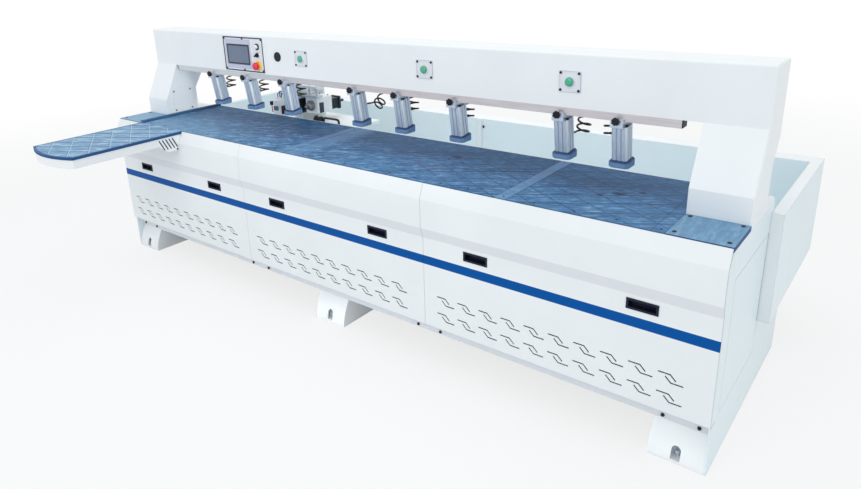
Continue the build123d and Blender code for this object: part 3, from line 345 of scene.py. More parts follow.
def relief(shader, height, strength, distance, soft=0):  # bump, over edges rounded by a radius
    inputs = {"Height": height, "Strength": strength, "Distance": distance}
    if soft:
        inputs["Normal"] = add("Bevel", {"Radius": soft}, samples=4).outputs[0]
    link(add("Bump", inputs).outputs[0], shader.inputs["Normal"])


def setTone(shader, coords, tone, marks):  # marks over the tone, then into the shader
    if marks:
        tone = marks(parts(coords), tone)
    link(tone, shader.inputs["Base Color"])


def setRoughness(shader, value, ramp, roughness, change):  # a ramp over a noise, about the plain roughness
    low, high = roughness + change[0], roughness + change[1]
    link(steps(value, *ramp, low, high), shader.inputs["Roughness"])


# Sprayed paint: faint cloudy tone, grime and painted shade darkening the corners, orange peel
paint = Values(
    cloud=2.3, clouded=(0.35, 0.65), mottle=0.97, reach=0.03, grimy=(0.12, 0.7), grime=0.82, ramp=(0.3, 0.7),
    change=(-0.05, 0.06), peel=420, bump=(0.06, 0.0004), coat=0.18)


def paintMaterial(name, colour, roughness, soft=0.002, coat=0.12, specular=0.4, marks=None):
    shader, coords = startMaterial(name, roughness, 0, specular, coat, paint.coat)
    cloud = grain(coords, paint.cloud, detail=4)
    tone = mix(steps(cloud, *paint.clouded), tint(colour, paint.mottle), colour)
    # grime and painted shade: darker where ambient occlusion finds close surfaces
    clear = steps(hollows(paint.reach), *paint.grimy)
    tone = mix(clear, tint(colour, paint.grime), tone)
    setTone(shader, coords, tone, marks)
    setRoughness(shader, cloud, paint.ramp, roughness, paint.change)
    relief(shader, grain(coords, paint.peel, detail=1), *paint.bump, soft)


# Drawn or turned metal: fine streaks along the stretched axis, grime and painted shade in the hollows
metal = Values(
    streaked=(0.3, 0.7), cloud=9, clouded=(0.3, 0.7, 0, 0.2), mottle=0.8, reach=0.008, grimy=(0.1, 0.75),
    ramp=(0.25, 0.75), change=(-0.08, 0.1), bump=(0.05, 0.0003), soft=0.0012)


def metalMaterial(name, colour, roughness, stretch, scale=260, metallic=1, contrast=0.22, hollow=0.5, marks=None):
    shader, coords = startMaterial(name, roughness, metallic)
    streak = grain(coords, scale, stretch, detail=4, rough=0.6)
    cloud = grain(coords, metal.cloud)
    dull, bright = tint(colour, 1 - contrast), tint(colour, 1 + contrast / 2)
    tone = mix(steps(streak, *metal.streaked), dull, bright)
    tone = mix(steps(cloud, *metal.clouded), tone, tint(colour, metal.mottle))
    # grime and painted shade: darker where ambient occlusion finds close surfaces
    clear = steps(hollows(metal.reach), *metal.grimy)
    tone = mix(clear, tint(colour, hollow), tone)
    setTone(shader, coords, tone, marks)
    setRoughness(shader, streak, metal.ramp, roughness, metal.change)
    relief(shader, streak, *metal.bump, metal.soft)


# Moulded plastic or rubber: spark-eroded texture, paler where dusty
mould = Values(
    cloud=14, clouded=(0.35, 0.7), pale=0.05, ramp=(0.3, 0.7), change=(-0.07, 0.08), bump=(0.12, 0.0003), coat=0.08)


def mouldedMaterial(name, colour, roughness, soft=0.001, texture=700, specular=0.45, dust=0.1, coat=0, marks=None):
    shader, coords = startMaterial(name, roughness, 0, specular, coat, mould.coat)
    fine = grain(coords, texture, detail=2)
    cloud = grain(coords, mould.cloud)
    pale = tuple(channel + mould.pale for channel in colour[:3]) + (1,)
    tone = mix(steps(cloud, *mould.clouded, 0, dust), colour, pale)
    setTone(shader, coords, tone, marks)
    setRoughness(shader, fine, mould.ramp, roughness, mould.change)
    relief(shader, fine, *mould.bump, soft)


tones = dict(  # as seen, 0 to 255
    white=(243, 247, 249), frame=(238, 245, 247), trough=(232, 245, 249), inside=(236, 248, 252),
    paintedFoldShade=(222, 222, 230), stripe=(0, 84, 162), bed=(222, 227, 232), panel=(230, 233, 240),
    slate=(52, 98, 146), slateDark=(30, 60, 98), slatePale=(122, 160, 200), slateViolet=(72, 84, 132),
    slateRear=(28, 86, 118), slateLine=(26, 50, 82), edge=(44, 86, 136),
    arm=(142, 180, 208), armDark=(96, 138, 180), armPale=(190, 216, 230), armViolet=(142, 166, 206),
    armLine=(62, 100, 150), armShade=(136, 176, 206),
    plate=(122, 162, 193), plateDark=(106, 146, 182), platePale=(138, 176, 203),
    aluminium=(200, 213, 228), rail=(206, 202, 206), slide=(206, 214, 218),
    pad=(106, 142, 184), padDark=(74, 102, 142), fence=(58, 106, 146), fenceRear=(44, 66, 92),
    bezel=(198, 201, 222), glass=(100, 116, 138), navy=(26, 42, 64), plug=(18, 26, 42),
    yellow=(250, 196, 60), red=(228, 22, 66), green=(48, 172, 136), teal=(20, 40, 48),
    coil=(58, 104, 130), blue=(36, 60, 150), foam=(30, 52, 100), milk=(238, 240, 242), cup=(14, 22, 46),
)
finish = {name: rgb(*seen) for name, seen in tones.items()}
finish.update(  # linear
    steel=(0.56, 0.57, 0.59, 1), silver=(0.72, 0.73, 0.75, 1), chuck=(0.3, 0.31, 0.33, 1),
    rod=(0.42, 0.43, 0.45, 1), darkSteel=(0.02, 0.022, 0.027, 1), black=(0.008, 0.009, 0.011, 1),
    hose=(0.008, 0.008, 0.01, 1), frontGain=(1.98, 1.72, 1.46, 1),
)


def fade(axis, ramp, tone):  # a mark that turns to a tone along one axis
    def mark(xyz, plain):
        return mix(steps(xyz[axis], *ramp), plain, tone)
    return mark


cover = Values(under=(-0.04, -0.12, 0, 0.5), stripe=(0.4835, 0.5225))


def stripeMark(xyz, tone):  # painted shade: a greyer tone on the faces where the front covers turn under, and the blue band along them
    # painted shade on the downward-facing fold
    tone = mix(steps(normal()[2], *cover.under), tone, "paintedFoldShade")
    return mix(band(xyz[2], *cover.stripe), tone, "stripe")


guard = Values(front=(0.249, 0.248), low=(0.7902, 0.7912))


def guardMark(xyz, tone):  # the guard rod ahead of the shelf is black
    ahead = times(steps(xyz[1], *guard.front), steps(xyz[2], *guard.low))
    return mix(ahead, tone, "black")


lean = Values(
    sin=0.149535, cos=0.988756, y=-0.01284, z=1.08449, plate=-0.134, sole=-0.1412, plateEdge=0.0004, soleEdge=0.0006)


def footMark(xyz, tone):  # by distance along the leaning barrel: rod, dark foot plate, rubber pad
    across = times(minus(xyz[1], lean.y), -lean.sin)
    depth = calc("MULTIPLY_ADD", minus(xyz[2], lean.z), lean.cos, across)
    sole = steps(depth, lean.sole - lean.soleEdge, lean.sole)
    rod = steps(depth, lean.plate, lean.plate + lean.plateEdge)
    return mix(rod, mix(sole, tone, "padDark"), "rod")


cornerHighlightRamp = (0.88, 0.97)


def paintedCornerHighlight(xyz, tone):  # painted highlight: the barrel's rounded front corner is paler
    # painted highlight on the faces turned between front and right
    facing = normal()
    corner = times(minus(facing[0], facing[1]), 0.5 ** 0.5)
    return mix(steps(corner, *cornerHighlightRamp), tone, "milk")


trough = Values(
    outside=(0.3, 0.8), ends=(-0.3, -0.8), up=(0.4, 0.6), floor=(0.7, 0.66), forward=(-0.4, -0.6), wall=(0.8, 0.85),
    rib=(0.0195, 0.0505), ribWall=(0.86, 0.88))


def ribMark(xyz, tone):  # faces that look into the trough are bluer, the rib up its back wall is paler
    facing = normal()
    outward = times(facing[0], xyz[0])
    tone = mix(steps(outward, *trough.outside), tone, "trough")
    floor = times(steps(facing[2], *trough.up), steps(xyz[2], *trough.floor))
    wall = times(steps(facing[1], *trough.forward), steps(xyz[1], *trough.wall))
    inner = most(steps(outward, *trough.ends), floor, wall)
    tone = mix(inner, tone, "inside")
    rib = times(band(xyz[0], *trough.rib), steps(xyz[1], *trough.ribWall))
    return mix(rib, tone, "white")


paints = dict(  # tone, roughness, and what differs from the usual paint
    whitePaint=("white", 0.38, {}),
    beamPaint=("white", 0.38, dict(soft=0.0004)),
    sidePaint=("trough", 0.38, {}),
    coverPaint=("white", 0.38, dict(soft=0.003, coat=0, specular=0.08, marks=stripeMark)),
    framePaint=("bed", 0.45, {}),
    saddlePaint=("frame", 0.42, dict(marks=guardMark)),
    motorPaint=("frame", 0.4, dict(marks=fade(1, (0.42, 0.4206), "teal"))),  # dark fan cover behind the motor
    troughPaint=("white", 0.4, dict(soft=0.004, marks=ribMark)),
    panelPaint=("panel", 0.35, dict(soft=0.0015)),
    platePaint=("panel", 0.35, dict(soft=0.001, marks=fade(1, (-0.046, -0.0466), "milk"))),  # white start rings
)

railFade = fade(0, (0.1, -1.3, 0, 0.8), "slide")  # the rail looks greyer towards the panel
slideShade = fade(2, (0.934, 0.932), "teal")  # painted shade: the slide is dark where it runs behind the motor
metals = dict(  # tone, roughness, stretch of the streaks, and what differs from the usual metal
    clampAluminium=("aluminium", 0.4, (1, 1, 0.03), dict(metallic=0.45, contrast=0.1, hollow=0.8, marks=paintedCornerHighlight)),
    railAluminium=("rail", 0.36, (0.02, 1, 1), dict(metallic=0.6, contrast=0.14, hollow=0.8, marks=railFade)),
    slideAluminium=("slide", 0.36, (1, 1, 0.05), dict(metallic=0.5, contrast=0.14, hollow=0.6, marks=slideShade)),
    groundSteel=("steel", 0.26, (0.02, 1, 1), {}),
    turnedSteel=("silver", 0.22, (1, 0.05, 1), {}),
    boltZinc=("aluminium", 0.4, (1, 1, 0.05), dict(metallic=0.3, contrast=0.1, hollow=0.8)),
    chuckSteel=("chuck", 0.38, (1, 0.1, 1), dict(scale=120, contrast=0.15)),
)

fenceFade = fade(1, (-0.08, 0.16), "fenceRear")  # the fence darkens towards the rear
mouldings = dict(  # tone, roughness, and what differs from the usual moulding
    darkSteel=("darkSteel", 0.42, dict(texture=300, dust=0.25)),
    blackPlastic=("black", 0.42, dict(specular=0.3, dust=0.15)),
    knobPlastic=("black", 0.5, dict(texture=500, specular=0.22, dust=0.12)),
    cupPlastic=("cup", 0.45, dict(specular=0.22, dust=0.12)),
    screwBlack=("black", 0.36, dict(texture=300)),
    hoseBlack=("hose", 0.34, dict(soft=0, texture=900)),
    padRubber=("pad", 0.6, dict(soft=0.003, specular=0.25, dust=0.4, marks=footMark)),
    bezelPlastic=("bezel", 0.4, {}),
    screenGlass=("glass", 0.32, dict(coat=0.3)),
    navyPlastic=("navy", 0.36, dict(dust=0.25)),
    plugPlastic=("plug", 0.42, dict(specular=0.25)),
    yellowPlastic=("yellow", 0.35, {}),
    redPlastic=("red", 0.24, dict(coat=0.4)),
    greenPlastic=("green", 0.16, dict(texture=200, coat=1)),
    milkPlastic=("milk", 0.3, dict(dust=0.05)),
    liningPaint=("white", 0.5, dict(soft=0, specular=0.3, dust=0.6)),
    bluePlastic=("blue", 0.35, {}),
    tealPlastic=("coil", 0.4, dict(dust=0.15)),
    fencePaint=("fence", 0.45, dict(soft=0.002, texture=200, specular=0.3, dust=0.25, marks=fenceFade)),
    # dark sheets that stand in for the shade behind the vents and slits
    filterFoam=("foam", 0.9, dict(soft=0, texture=420, specular=0.05)),
)
for make, kinds in (paintMaterial, paints), (metalMaterial, metals), (mouldedMaterial, mouldings):
    for name, (tone, *values, rest) in kinds.items():
        make(name, finish[tone], *values, **rest)
print("plain materials made")

# Printed slate boards: noises are scale, stretch, detail, roughness, distortion; each board has its own fine scale
laminate = Values(
    broad=(4, (0.45, 3.2, 1), 5, 0.6, 0.7), fine=((0.42, 2.1, 1), 4, 0.55, 0.5), cloud=(1.6, (1, 1, 1), 3, 0.55, 0.6),
    speck=(75, (0.5, 1, 1), 3, 0.7), deep=(0.36, 0.58, 0.45, 1), violet=(0.5, 0.68, 0, 0.45), pale=(0.5, 0.64),
    dark=(0.49, 0.38), contrastEnds=(-0.9, 0.7), lineEnds=(0.2, 1), gritty=(0.35, 0.65), slope=0.6, wave=0.012,
    lineEdge=(1.4, 0.4), beside=0.6, rise=0.2, groove=0.3, up=(0.5, 0.9), specular=0.1, rough=(0.3, 0.7, 0.44, 0.6),
    bump=(0.4, 0.0012))


def laminateMaterial(name, board):  # streaks turned off the long side, and lines where y + s x or y - s x meets a pitch
    shader, coords = startMaterial(name, 0.5, specular=laminate.specular)
    dark, base, pale, violet = board.tones
    xyz = parts(coords)
    spun = add("Mapping", {"Vector": coords, "Rotation": (0, 0, -board.turn)}).outputs[0]
    broad = grain(spun, *laminate.broad)
    fine = grain(spun, board.fine, *laminate.fine)
    cloud = grain(coords, *laminate.cloud)
    speck = grain(spun, *laminate.speck)
    tone = mix(steps(broad, *laminate.deep), dark, base)
    tone = mix(steps(cloud, *laminate.violet), tone, violet)
    contrast = steps(xyz[0], *laminate.contrastEnds, *board.contrast)
    tone = mix(times(steps(fine, *laminate.pale), contrast), tone, pale)
    tone = mix(times(steps(fine, *laminate.dark), contrast), tone, dark)
    grit = steps(speck, *laminate.gritty, 1 - board.grit, 1 + board.grit)
    tone = mix(1, tone, grit, "MULTIPLY")
    height = times(fine, laminate.rise)
    for sign, pitch, phase, half, atLeft, atRight, line, beside in board.lines:
        kept = steps(xyz[0], *laminate.lineEnds, atLeft, atRight)
        across = calc("MULTIPLY_ADD", xyz[0], sign * laminate.slope, xyz[1])
        across = calc("MULTIPLY_ADD", fine, laminate.wave, across)
        first = 100 * pitch - phase  # far enough that the sum stays positive
        near = calc("PINGPONG", calc("ADD", across, first), pitch / 2)
        close = calc("PINGPONG", calc("ADD", across, first + 2 * half), pitch / 2)
        edge = [half * share for share in laminate.lineEdge]
        shade = times(steps(close, *edge, 0, laminate.beside), kept)
        tone = mix(shade, tone, beside)
        tone = mix(times(steps(near, *edge), kept), tone, line)
        height = minus(height, steps(near, *edge, 0, laminate.groove))
    upward = parts(add("NewGeometry").outputs["Normal"])[2]
    tone = mix(steps(upward, *laminate.up), "edge", tone)
    link(board.marks(xyz, tone), shader.inputs["Base Color"])
    link(steps(fine, *laminate.rough), shader.inputs["Roughness"])
    relief(shader, height, *laminate.bump)


# Marks on the table; knots are x, y and half length
table = Values(
    front=(0.1, -0.28), rear=(-0.12, 0.16, 0, 0.3), right=(0.85, 1.45, 0, 0.12), glow=(-1.3, -0.36), glowDepth=2,
    glowFade=(0.95, 0.05, 0, 0.55), leftEdge=(-1.4825, -1.4855, 0, 0.8), seam=(1.4985, 1.5015), seamShare=0.6,
    patch=((-0.265, -0.255), (-0.1, -0.22)), patchShare=0.45, strips=((-0.3145, -0.2645), (0.9125, 0.9625)), rim=0.003,
    rimShare=0.6, stripShare=0.5,
    knots=((1.282, -0.072, 0.03), (1.229, -0.12, 0.016), (1.351, -0.016, 0.018),
           (0.492, 0.02, 0.032), (0.564, -0.046, 0.016), (0.479, -0.026, 0.012)),
    knotDepth=1.6, knotFade=(1.2, 0.1, 0, 0.75), knotTint=0.5)


def tableMarks(xyz, tone):  # painted light and shade across the table, a painted shadow beside the fence, then seam, joint strips and knots
    x, y = xyz[0], xyz[1]
    tone = mix(steps(y, *table.front), tone, "frontGain", "MULTIPLY")  # painted light: brighter front
    tone = mix(steps(y, *table.rear), tone, "slateRear")  # painted shade: darker, greyer rear
    tone = mix(steps(x, *table.right), tone, "slatePale")  # pale right end
    east = minus(x, table.glow[0])
    north = times(minus(y, table.glow[1]), table.glowDepth)
    away = calc("SQRT", squares(east, north))
    tone = mix(steps(away, *table.glowFade), tone, "armShade")  # painted pool of light over the left corner
    # painted shadow: a dark band along the table beside the fence
    tone = mix(steps(x, *table.leftEdge), tone, "edge")
    seam = times(band(x, *table.seam), table.seamShare)
    tone = mix(seam, tone, "slateDark")
    patch = times(*[steps(x, *ramp) for ramp in table.patch])  # beside the first joint strip
    tone = mix(times(patch, table.patchShare), tone, "slatePale")
    strips = most(*[band(x, low, high) for low, high in table.strips])
    rims = most(*[band(x, low - table.rim, high + table.rim) for low, high in table.strips])
    rims = times(minus(rims, strips), table.rimShare)
    tone = mix(rims, tone, "slateDark")
    tone = mix(times(strips, table.stripShare), tone, "slatePale")
    for knotX, knotY, size in table.knots:
        along = times(minus(x, knotX), 1 / size)
        across = times(minus(y, knotY), table.knotDepth / size)
        knot = steps(squares(along, across), *table.knotFade)
        tone = mix(knot, tone, tint(finish["slateDark"], table.knotTint))
    return tone


arm = Values(middle=-1.304, half=0.21, nose=-1.0175, radius=0.4834, band=0.012, edge=0.002, share=0.8)


def armMarks(xyz, tone):  # dark rim inside the arm's edge: beyond the half width, or outside the nose circle
    side = calc("ABSOLUTE", minus(xyz[0], arm.middle))
    ahead = minus(xyz[1], arm.nose + arm.radius)
    away = calc("SQRT", squares(side, ahead))
    limits = [(side, arm.half - arm.band), (away, arm.radius - arm.band)]
    rim = most(*[steps(value, limit - arm.edge, limit) for value, limit in limits])
    return mix(times(rim, arm.share), tone, "edge")


plates = Values(left=(0.5, -0.5, 0, 0.24), behind=(-0.142, -0.1412))


def plateMarks(xyz, tone):  # the left plate is paler; both are printed ahead of the columns, and painted behind
    tone = mix(steps(xyz[0], *plates.left), tone, "armPale")
    return mix(steps(xyz[1], *plates.behind), tone, "white")


boards = dict(  # lines are slope sign, pitch, phase, half width, strength at left and right, tone and tone beside
    tableLaminate=Values(
        tones=("slateDark", "slate", "slatePale", "slateViolet"), turn=0.5, fine=38, contrast=(0.7, 0.34),
        grit=0.24, marks=tableMarks,
        lines=[(1, 0.105, 0.0985, 0.0034, 0.25, 0.75, "slateLine", "slate"),
               (-1, 0.11, 0.0285, 0.006, 0.35, 0.65, "slateLine", "slate")]),
    armLaminate=Values(
        tones=("armDark", "arm", "armPale", "armViolet"), turn=0.54, fine=26, contrast=(0.75, 0.75),
        grit=0.14, marks=armMarks,
        lines=[(-1, 0.109, 0.0375, 0.0085, 0.85, 0.85, "armLine", "arm"),
               (1, 0.112, 0.0295, 0.0026, 0.7, 0.7, "armPale", "armLine")]),
    plateLaminate=Values(
        tones=("plateDark", "plate", "platePale", "plate"), turn=1.57, fine=30, contrast=(0.7, 0.7),
        grit=0.06, marks=plateMarks, lines=[]),
)
for name, board in boards.items():
    laminateMaterial(name, board)

clampXs = (567, 868, 1179, 1680, 1955, 2269, 2770, 3004)
clampNumbers = range(1, len(clampXs) + 1)
dress = dict(
    whitePaint=["base_feet", "arm_casing", "column_cover"], sidePaint=["side_panels", "access_covers"],
    beamPaint=["gantry_columns", "gantry_beam"], coverPaint=["front_covers"], framePaint=["bed_frame"],
    saddlePaint=["drill_saddle"], troughPaint=["rear_trough"], motorPaint=["spindle_motor"],
    groundSteel=["x_rails"], boltZinc=["levelling_bolts"], darkSteel=["drive_motor"],
    tableLaminate=["table_boards"], armLaminate=["arm_board"], plateLaminate=["column_base_plates"],
    railAluminium=["clamp_rail"], slideAluminium=["lift_slide"], fencePaint=["side_fence"],
    cupPlastic=["pull_handles"], screenGlass=["touch_screen"], panelPaint=["control_panel"],
    platePaint=["button_plates"], milkPlastic=["valve_block"], plugPlastic=["beam_plug"],
    clampAluminium=[f"clamp_{number}_body" for number in clampNumbers],
    padRubber=[f"clamp_{number}_pad" for number in clampNumbers],
)
for look, names in dress.items():
    for name in names:
        nodes[name].data.materials.clear()
        nodes[name].data.materials.append(looks[look])
print("CAD nodes dressed")

# Dark pleated filters behind the vents, standing in for the shade inside the bed: a zigzag sheet in each cover
filterShades = Values(
    covers=(0, 1166.667, 2333.333), span=(52, 1114), heights=(214, 366), pleat=9, depth=5, behind=8, crease=10)
along = np.arange(*filterShades.span, filterShades.pleat / 2)
zigzag = filterShades.behind + filterShades.depth * (np.arange(len(along)) % 2)
pleats = sheet(grid(along, zigzag, np.array(filterShades.heights)[:, None]))
build("vent_shade_filters", spread(pleats, [(x, 0, 0) for x in filterShades.covers]), "bed", "filterFoam",
      crease=filterShades.crease)

# Dark ribbed plate behind the slits of the arm's bracket, standing in for the shade behind them, from the bracket's
# lower outline up to the board
slits = Values(
    x=647, front=-134, back=-18, top=816, rib=1.6, wave=0.3, rows=8, columns=60,
    outline=((-136, 781), (-85, 740), (-14, 740)))
along = np.linspace(slits.front, slits.back, slits.columns)
low = np.interp(along, *zip(*slits.outline))
rise = np.linspace(0, 1, slits.rows)[:, None]
rib = slits.x - slits.rib * np.abs(np.sin(along * slits.wave))
ribs = sheet(grid(rib, along, low + (slits.top - low) * rise))
build("bracket_backing", ribs, "bed", "filterFoam")

# Painted linings in the notches of the feet: half rounds about the levelling bolts, run forward to the sloping toe
lining = Values(xs=(103, 1725, 3397), y=46, radius=16.5, low=12.3, high=78, toe=24, slope=0.403, arc=19, rows=8, run=-2)
turn = np.linspace(-np.pi / 2, np.pi / 2, lining.arc)
z = np.linspace(lining.low, lining.high, lining.rows)[:, None]
across = lining.radius * np.concatenate([[-1], np.sin(turn), [1]])
deep = lining.y + lining.radius * np.concatenate([[lining.run], np.cos(turn), [lining.run]])
deep = np.maximum(deep, lining.toe + lining.slope * (z - lining.low))
niches = spread(sheet(grid(across, deep, z)), [(x, 0, 0) for x in lining.xs])
build("foot_linings", niches, "bed", "liningPaint")
print("filters and linings made")

# Socket screws in rows: radius and height, facing, body, and the x, y and z of the rows
tableXs = [*np.linspace(300, 1404, 9), 1460, *np.linspace(1600, 2529, 8), 2640, 2688, 2816, 2971, 3125, 3274]
screwRows = {
    "table_screws": ((4.4, 1.2), "top", "bed", tableXs, [45, 550], [836]),
    "plate_screws": ((7.5, 2), "top", "bed", [22, 190, 3314, 3479], [48, 208], [836]),
    "cover_screws": ((5, 2.5), "right", "bed", [209], [278, 393], [857, 973]),
    "strip_screws": ((7, 5), "front", "bed", [42, 167, 1116, 1242, 2256, 2377, 3333, 3456], [50], [149]),
    "start_screws": ((5.2, 3), "front", "bed", [1294, 1368, 2082, 2156, 2768, 2842], [322], [1199.5, 1264.5]),
    "motor_screws": ((5, 3), "top", "spindle", [980, 1046], [686, 770], [944]),
}
looseScrews = {"cover_screws": [(653, -26, 744)]}  # one in the arm's bracket
for name, (size, facing, body, *rows) in screwRows.items():
    screwOn(name, size, facing, [*product(*rows), *looseScrews.get(name, [])], body)
print("screws set")

# Black end caps on the clamp rail; a profile of a slab is inset and height
railCap = Values(
    left=226, right=3225, y=347.5, z=1117, size=(44, 29, 3), profile=((0, 0), (0, 3), (1.2, 4.2), (9, 4.2), (9.4, 3.6)))
cap = slab(*railCap.size, railCap.profile)
railCaps = [setOn(cap, end, (railCap[end], railCap.y, railCap.z)) for end in ("left", "right")]
build("rail_caps", join(*railCaps), "bed", "blackPlastic")

# Control panel: flange, dark trim with six screws, lilac bezel, screen rim, divider; sizes are width, height, corner
panel = Values(
    x=877, z=1231.75, face=320, wall=325, size=(338, 187.5, 6), flangeHeight=5.6, opening=(318, 176, 4),
    openingShift=(-8, 1.25), trim=((0.8, 0), (0.8, 1.6), (1.2, 2), (6.8, 2), (6.8, 0)), screw=(5.5, 3.4),
    screwSpots=((-157, -83), (157, -83), (-157, 83), (157, 83), (0, 84), (0, -84)), dividerX=950, divider=(8, 156, 3),
    dividerProfile=((0, 0), (0, 1.4), (0.8, 2)))
screen = Values(
    bezelX=833, bezelZ=1232, bezel=(216, 158, 5), bezelHole=(184.6, 102.6, 3), bezelHeight=2, bezelShift=(2, -2),
    x=835, z=1230, rim=(192, 110, 4), rimHole=(174, 92, 2), rimHeight=3.8)
flange = frameRing(panel.size, panel.opening, panel.flangeHeight, panel.openingShift)
trim = slab(*panel.size, panel.trim, caps=False)
bezel = frameRing(screen.bezel, screen.bezelHole, screen.bezelHeight, screen.bezelShift)
rim = frameRing(screen.rim, screen.rimHole, screen.rimHeight)
divider = slab(*panel.divider, panel.dividerProfile)
panelPieces = {  # shape, spot, look and slot
    "panel_flange": (flange, (panel.x, panel.wall, panel.z), "panelPaint", "panel_grey"),
    "panel_trim": (trim, (panel.x, panel.face, panel.z), "navyPlastic", "navy_plastic"),
    "screen_bezel": (bezel, (screen.bezelX, panel.face, screen.bezelZ), "bezelPlastic", "panel_grey"),
    "screen_rim": (rim, (screen.x, panel.face, screen.z), "navyPlastic", "navy_plastic"),
    "panel_divider": (divider, (panel.dividerX, panel.face, panel.z), "milkPlastic", "panel_grey"),
}
for name, (shape, spot, look, slot) in panelPieces.items():
    build(name, setOn(shape, "front", spot), "bed", look)
panelSpots = [(panel.x + x, panel.face, panel.z + z) for x, z in panel.screwSpots]
screwOn("panel_screws", panel.screw, "front", panelSpots)

# Switches: profiles of radius and height turned about the axis that points at the operator
switches = Values(x=997, face=320, power=1277, selector=1233, stop=1176)
grip = Values(size=(26, 9, 4.4), profile=((0.6, 0), (0, 3), (0.2, 8.5), (1.6, 10.2)), z=9.8, turn=215)
switchRings = {  # profile, sides, switch, look and slot
    "power_ring": (
        ((17.5, 0), (17.5, 3), (16.4, 4.4), (12.6, 4.4), (11.7, 3.6), (11.7, 0)), 40,
        "power", "blackPlastic", "black_plastic"),
    "selector_ring": (
        ((17, 0), (17, 2.6), (15.6, 4.6), (12.4, 4.6), (11.7, 3.8), (11.7, 0)), 40,
        "selector", "turnedSteel", "steel"),
    "stop_collar": (
        ((25, 0), (25, 8.5), (23.6, 10.6), (12.6, 10.6), (11.8, 9.6), (11.8, 0)), 48,
        "stop", "yellowPlastic", "yellow_plastic"),
}
switchCaps = {  # profile, sides, switch, look and slot, then the body that it rides and the node that it stands for
    "power_dome": (
        ((7, -7.5), (7, 5), (11, 5), (11, 13), (10.3, 15.2), (8.2, 16.6), (4.2, 17), (0.1, 17)), 40,
        "power", "milkPlastic", "panel_grey", "power_cap", "power_button"),
    "selector_grip": (
        ((7, -7.5), (7, 0.4), (11, 0.4), (11, 8.4), (10.2, 9.8), (0.1, 9.8)), 40,
        "selector", "blackPlastic", "black_plastic", "selector", "selector_knob"),
    "stop_mushroom": (
        ((7, -7.5), (7, 5.8), (11, 5.8), (11, 15.5), (17, 17.2), (20.4, 19.2), (21, 22.5), (20.2, 27),
         (16.5, 31), (9.5, 33), (0.1, 33.2)), 48,
        "stop", "redPlastic", "red_plastic", "estop_cap", "estop_button"),
}
for name, (profile, sides, switch, look, slot) in switchRings.items():
    spot = (switches.x, switches.face, switches[switch])
    ring = setOn(lathe(profile, sides, caps=False), "front", spot)
    build(name, ring, "bed", look, ["switch_collars"])
handle = moved(slab(*grip.size, grip.profile), (0, 0, grip.z))
handle = turned(handle, "top", np.radians(grip.turn))
for name, (profile, sides, switch, look, slot, body, node) in switchCaps.items():
    spot = (switches.x, switches.face, switches[switch])
    shape = lathe(profile, sides)
    shape = join(shape, handle) if switch == "selector" else shape
    build(name, setOn(shape, "front", spot), body, look, [node])

# Start buttons: a glossy dome in each white ring, a rim and a fine frame on each plate
starts = Values(
    xs=(1331, 2119, 2805), z=1232, face=322, wall=325, sides=40, edge=0.3,
    dome=((7, -7.5), (7, 5), (16.6, 5), (16.9, 6), (16.9, 8.2), (15.6, 10.4), (11.5, 12.2), (6, 13), (0.1, 13.2)),
    rim=((88, 79, 3), (76, 67, 2), 3.3), frame=((88.2, 79.2, 3), (85, 76, 2), 3.8))
dome = lathe(starts.dome, starts.sides)
for number, x in enumerate(starts.xs, start=1):
    build(f"start_dome_{number}", setOn(dome, "front", (x, starts.face, starts.z)), f"start_cap_{number}",
          "greenPlastic", [f"start_button_{number}"])
wallSpots = [(x, starts.wall, starts.z) for x in starts.xs]
plateRims = setOn(frameRing(*starts.rim, edge=starts.edge), "front", *wallSpots)
build("start_rims", plateRims, "bed", "panelPaint")
plateFrames = setOn(frameRing(*starts.frame, edge=starts.edge), "front", *wallSpots)
build("start_frames", plateFrames, "bed", "slideAluminium")
print("panel and buttons made")

# Clamps: lobed knobs r (1 + d cos 7t), and a black elbow fitting on each barrel's top
knob = Values(
    profile=((4, -12), (4, -0.2), (7.5, 0), (7.5, 1.8), (12.4, 2.2), (14, 3.4), (14.4, 6), (14.2, 10.5),
             (12.6, 13), (8.6, 13.9), (6, 13.4), (0.1, 13.2)),
    sides=70, lobes=7, scallop=0.1, x=-7, y=312.4, z=1104)
elbow = Values(
    x=24, y=337, z=1083, body=(7, 8, 2), sides=24, nutSpot=(3.4, 0, 3.6),
    profile=((0.3, 0), (0, 0.5), (0, 6), (0.8, 7)),
    nut=((2.8, 0), (3.3, 0.6), (3.3, 3), (2.6, 3.8), (2.1, 3.8), (2, 1.8), (0.1, 1.8)))
lobed = lathe(knob.profile, knob.sides, knob.lobes, knob.scallop)
fitting = join(slab(*elbow.body, elbow.profile),
               setOn(lathe(elbow.nut, elbow.sides), "right", elbow.nutSpot))
for number, x in zip(clampNumbers, clampXs):
    build(f"clamp_{number}_lobes", setOn(lobed, "front", (x + knob.x, knob.y, knob.z)), f"clamp_{number}_screw",
          "knobPlastic", [f"clamp_{number}_knob"])
    build(f"clamp_{number}_elbow", moved(fitting, (x + elbow.x, elbow.y, elbow.z)), f"clamp_{number}",
          "blackPlastic")
print("clamp details made")

# Coiled air hoses: out of the barrel's back, two turns, then up into the beam
hoses = Values(
    diameter=8, coil=26, pitch=29, turns=2, points=13, sides=12, uneven=1.2, drift=0.7, port=(0, 403.75, 1016.06),
    out=(0, 0.98876, 0.14954), straight=(8, 18), into=(0, 12, 1), middle=(451.75, 1004), leave=(0, 14, 2),
    beam=(484, 1119.7), drops=(26, 8))
hoseKinds = dict(  # coil to the side, its lean, port in the beam, and one slack point before and after the coil
    upright=(36, 0.15, 95, (5, 432, 1012), (57, 486, 1073)),
    leaning=(36, 1, 118, (8, 432, 1020), (90, 482, 1075)),
    close=(-7, 0, 44, (-18, 432, 1010), (2, 483, 1074)),
    left=(80, 0, 112, (27, 432, 1010), (83, 483, 1074)),  # mirrored
)
hoseOrder = ("close", "close", "close", "leaning", "close", "close", "upright", "left")


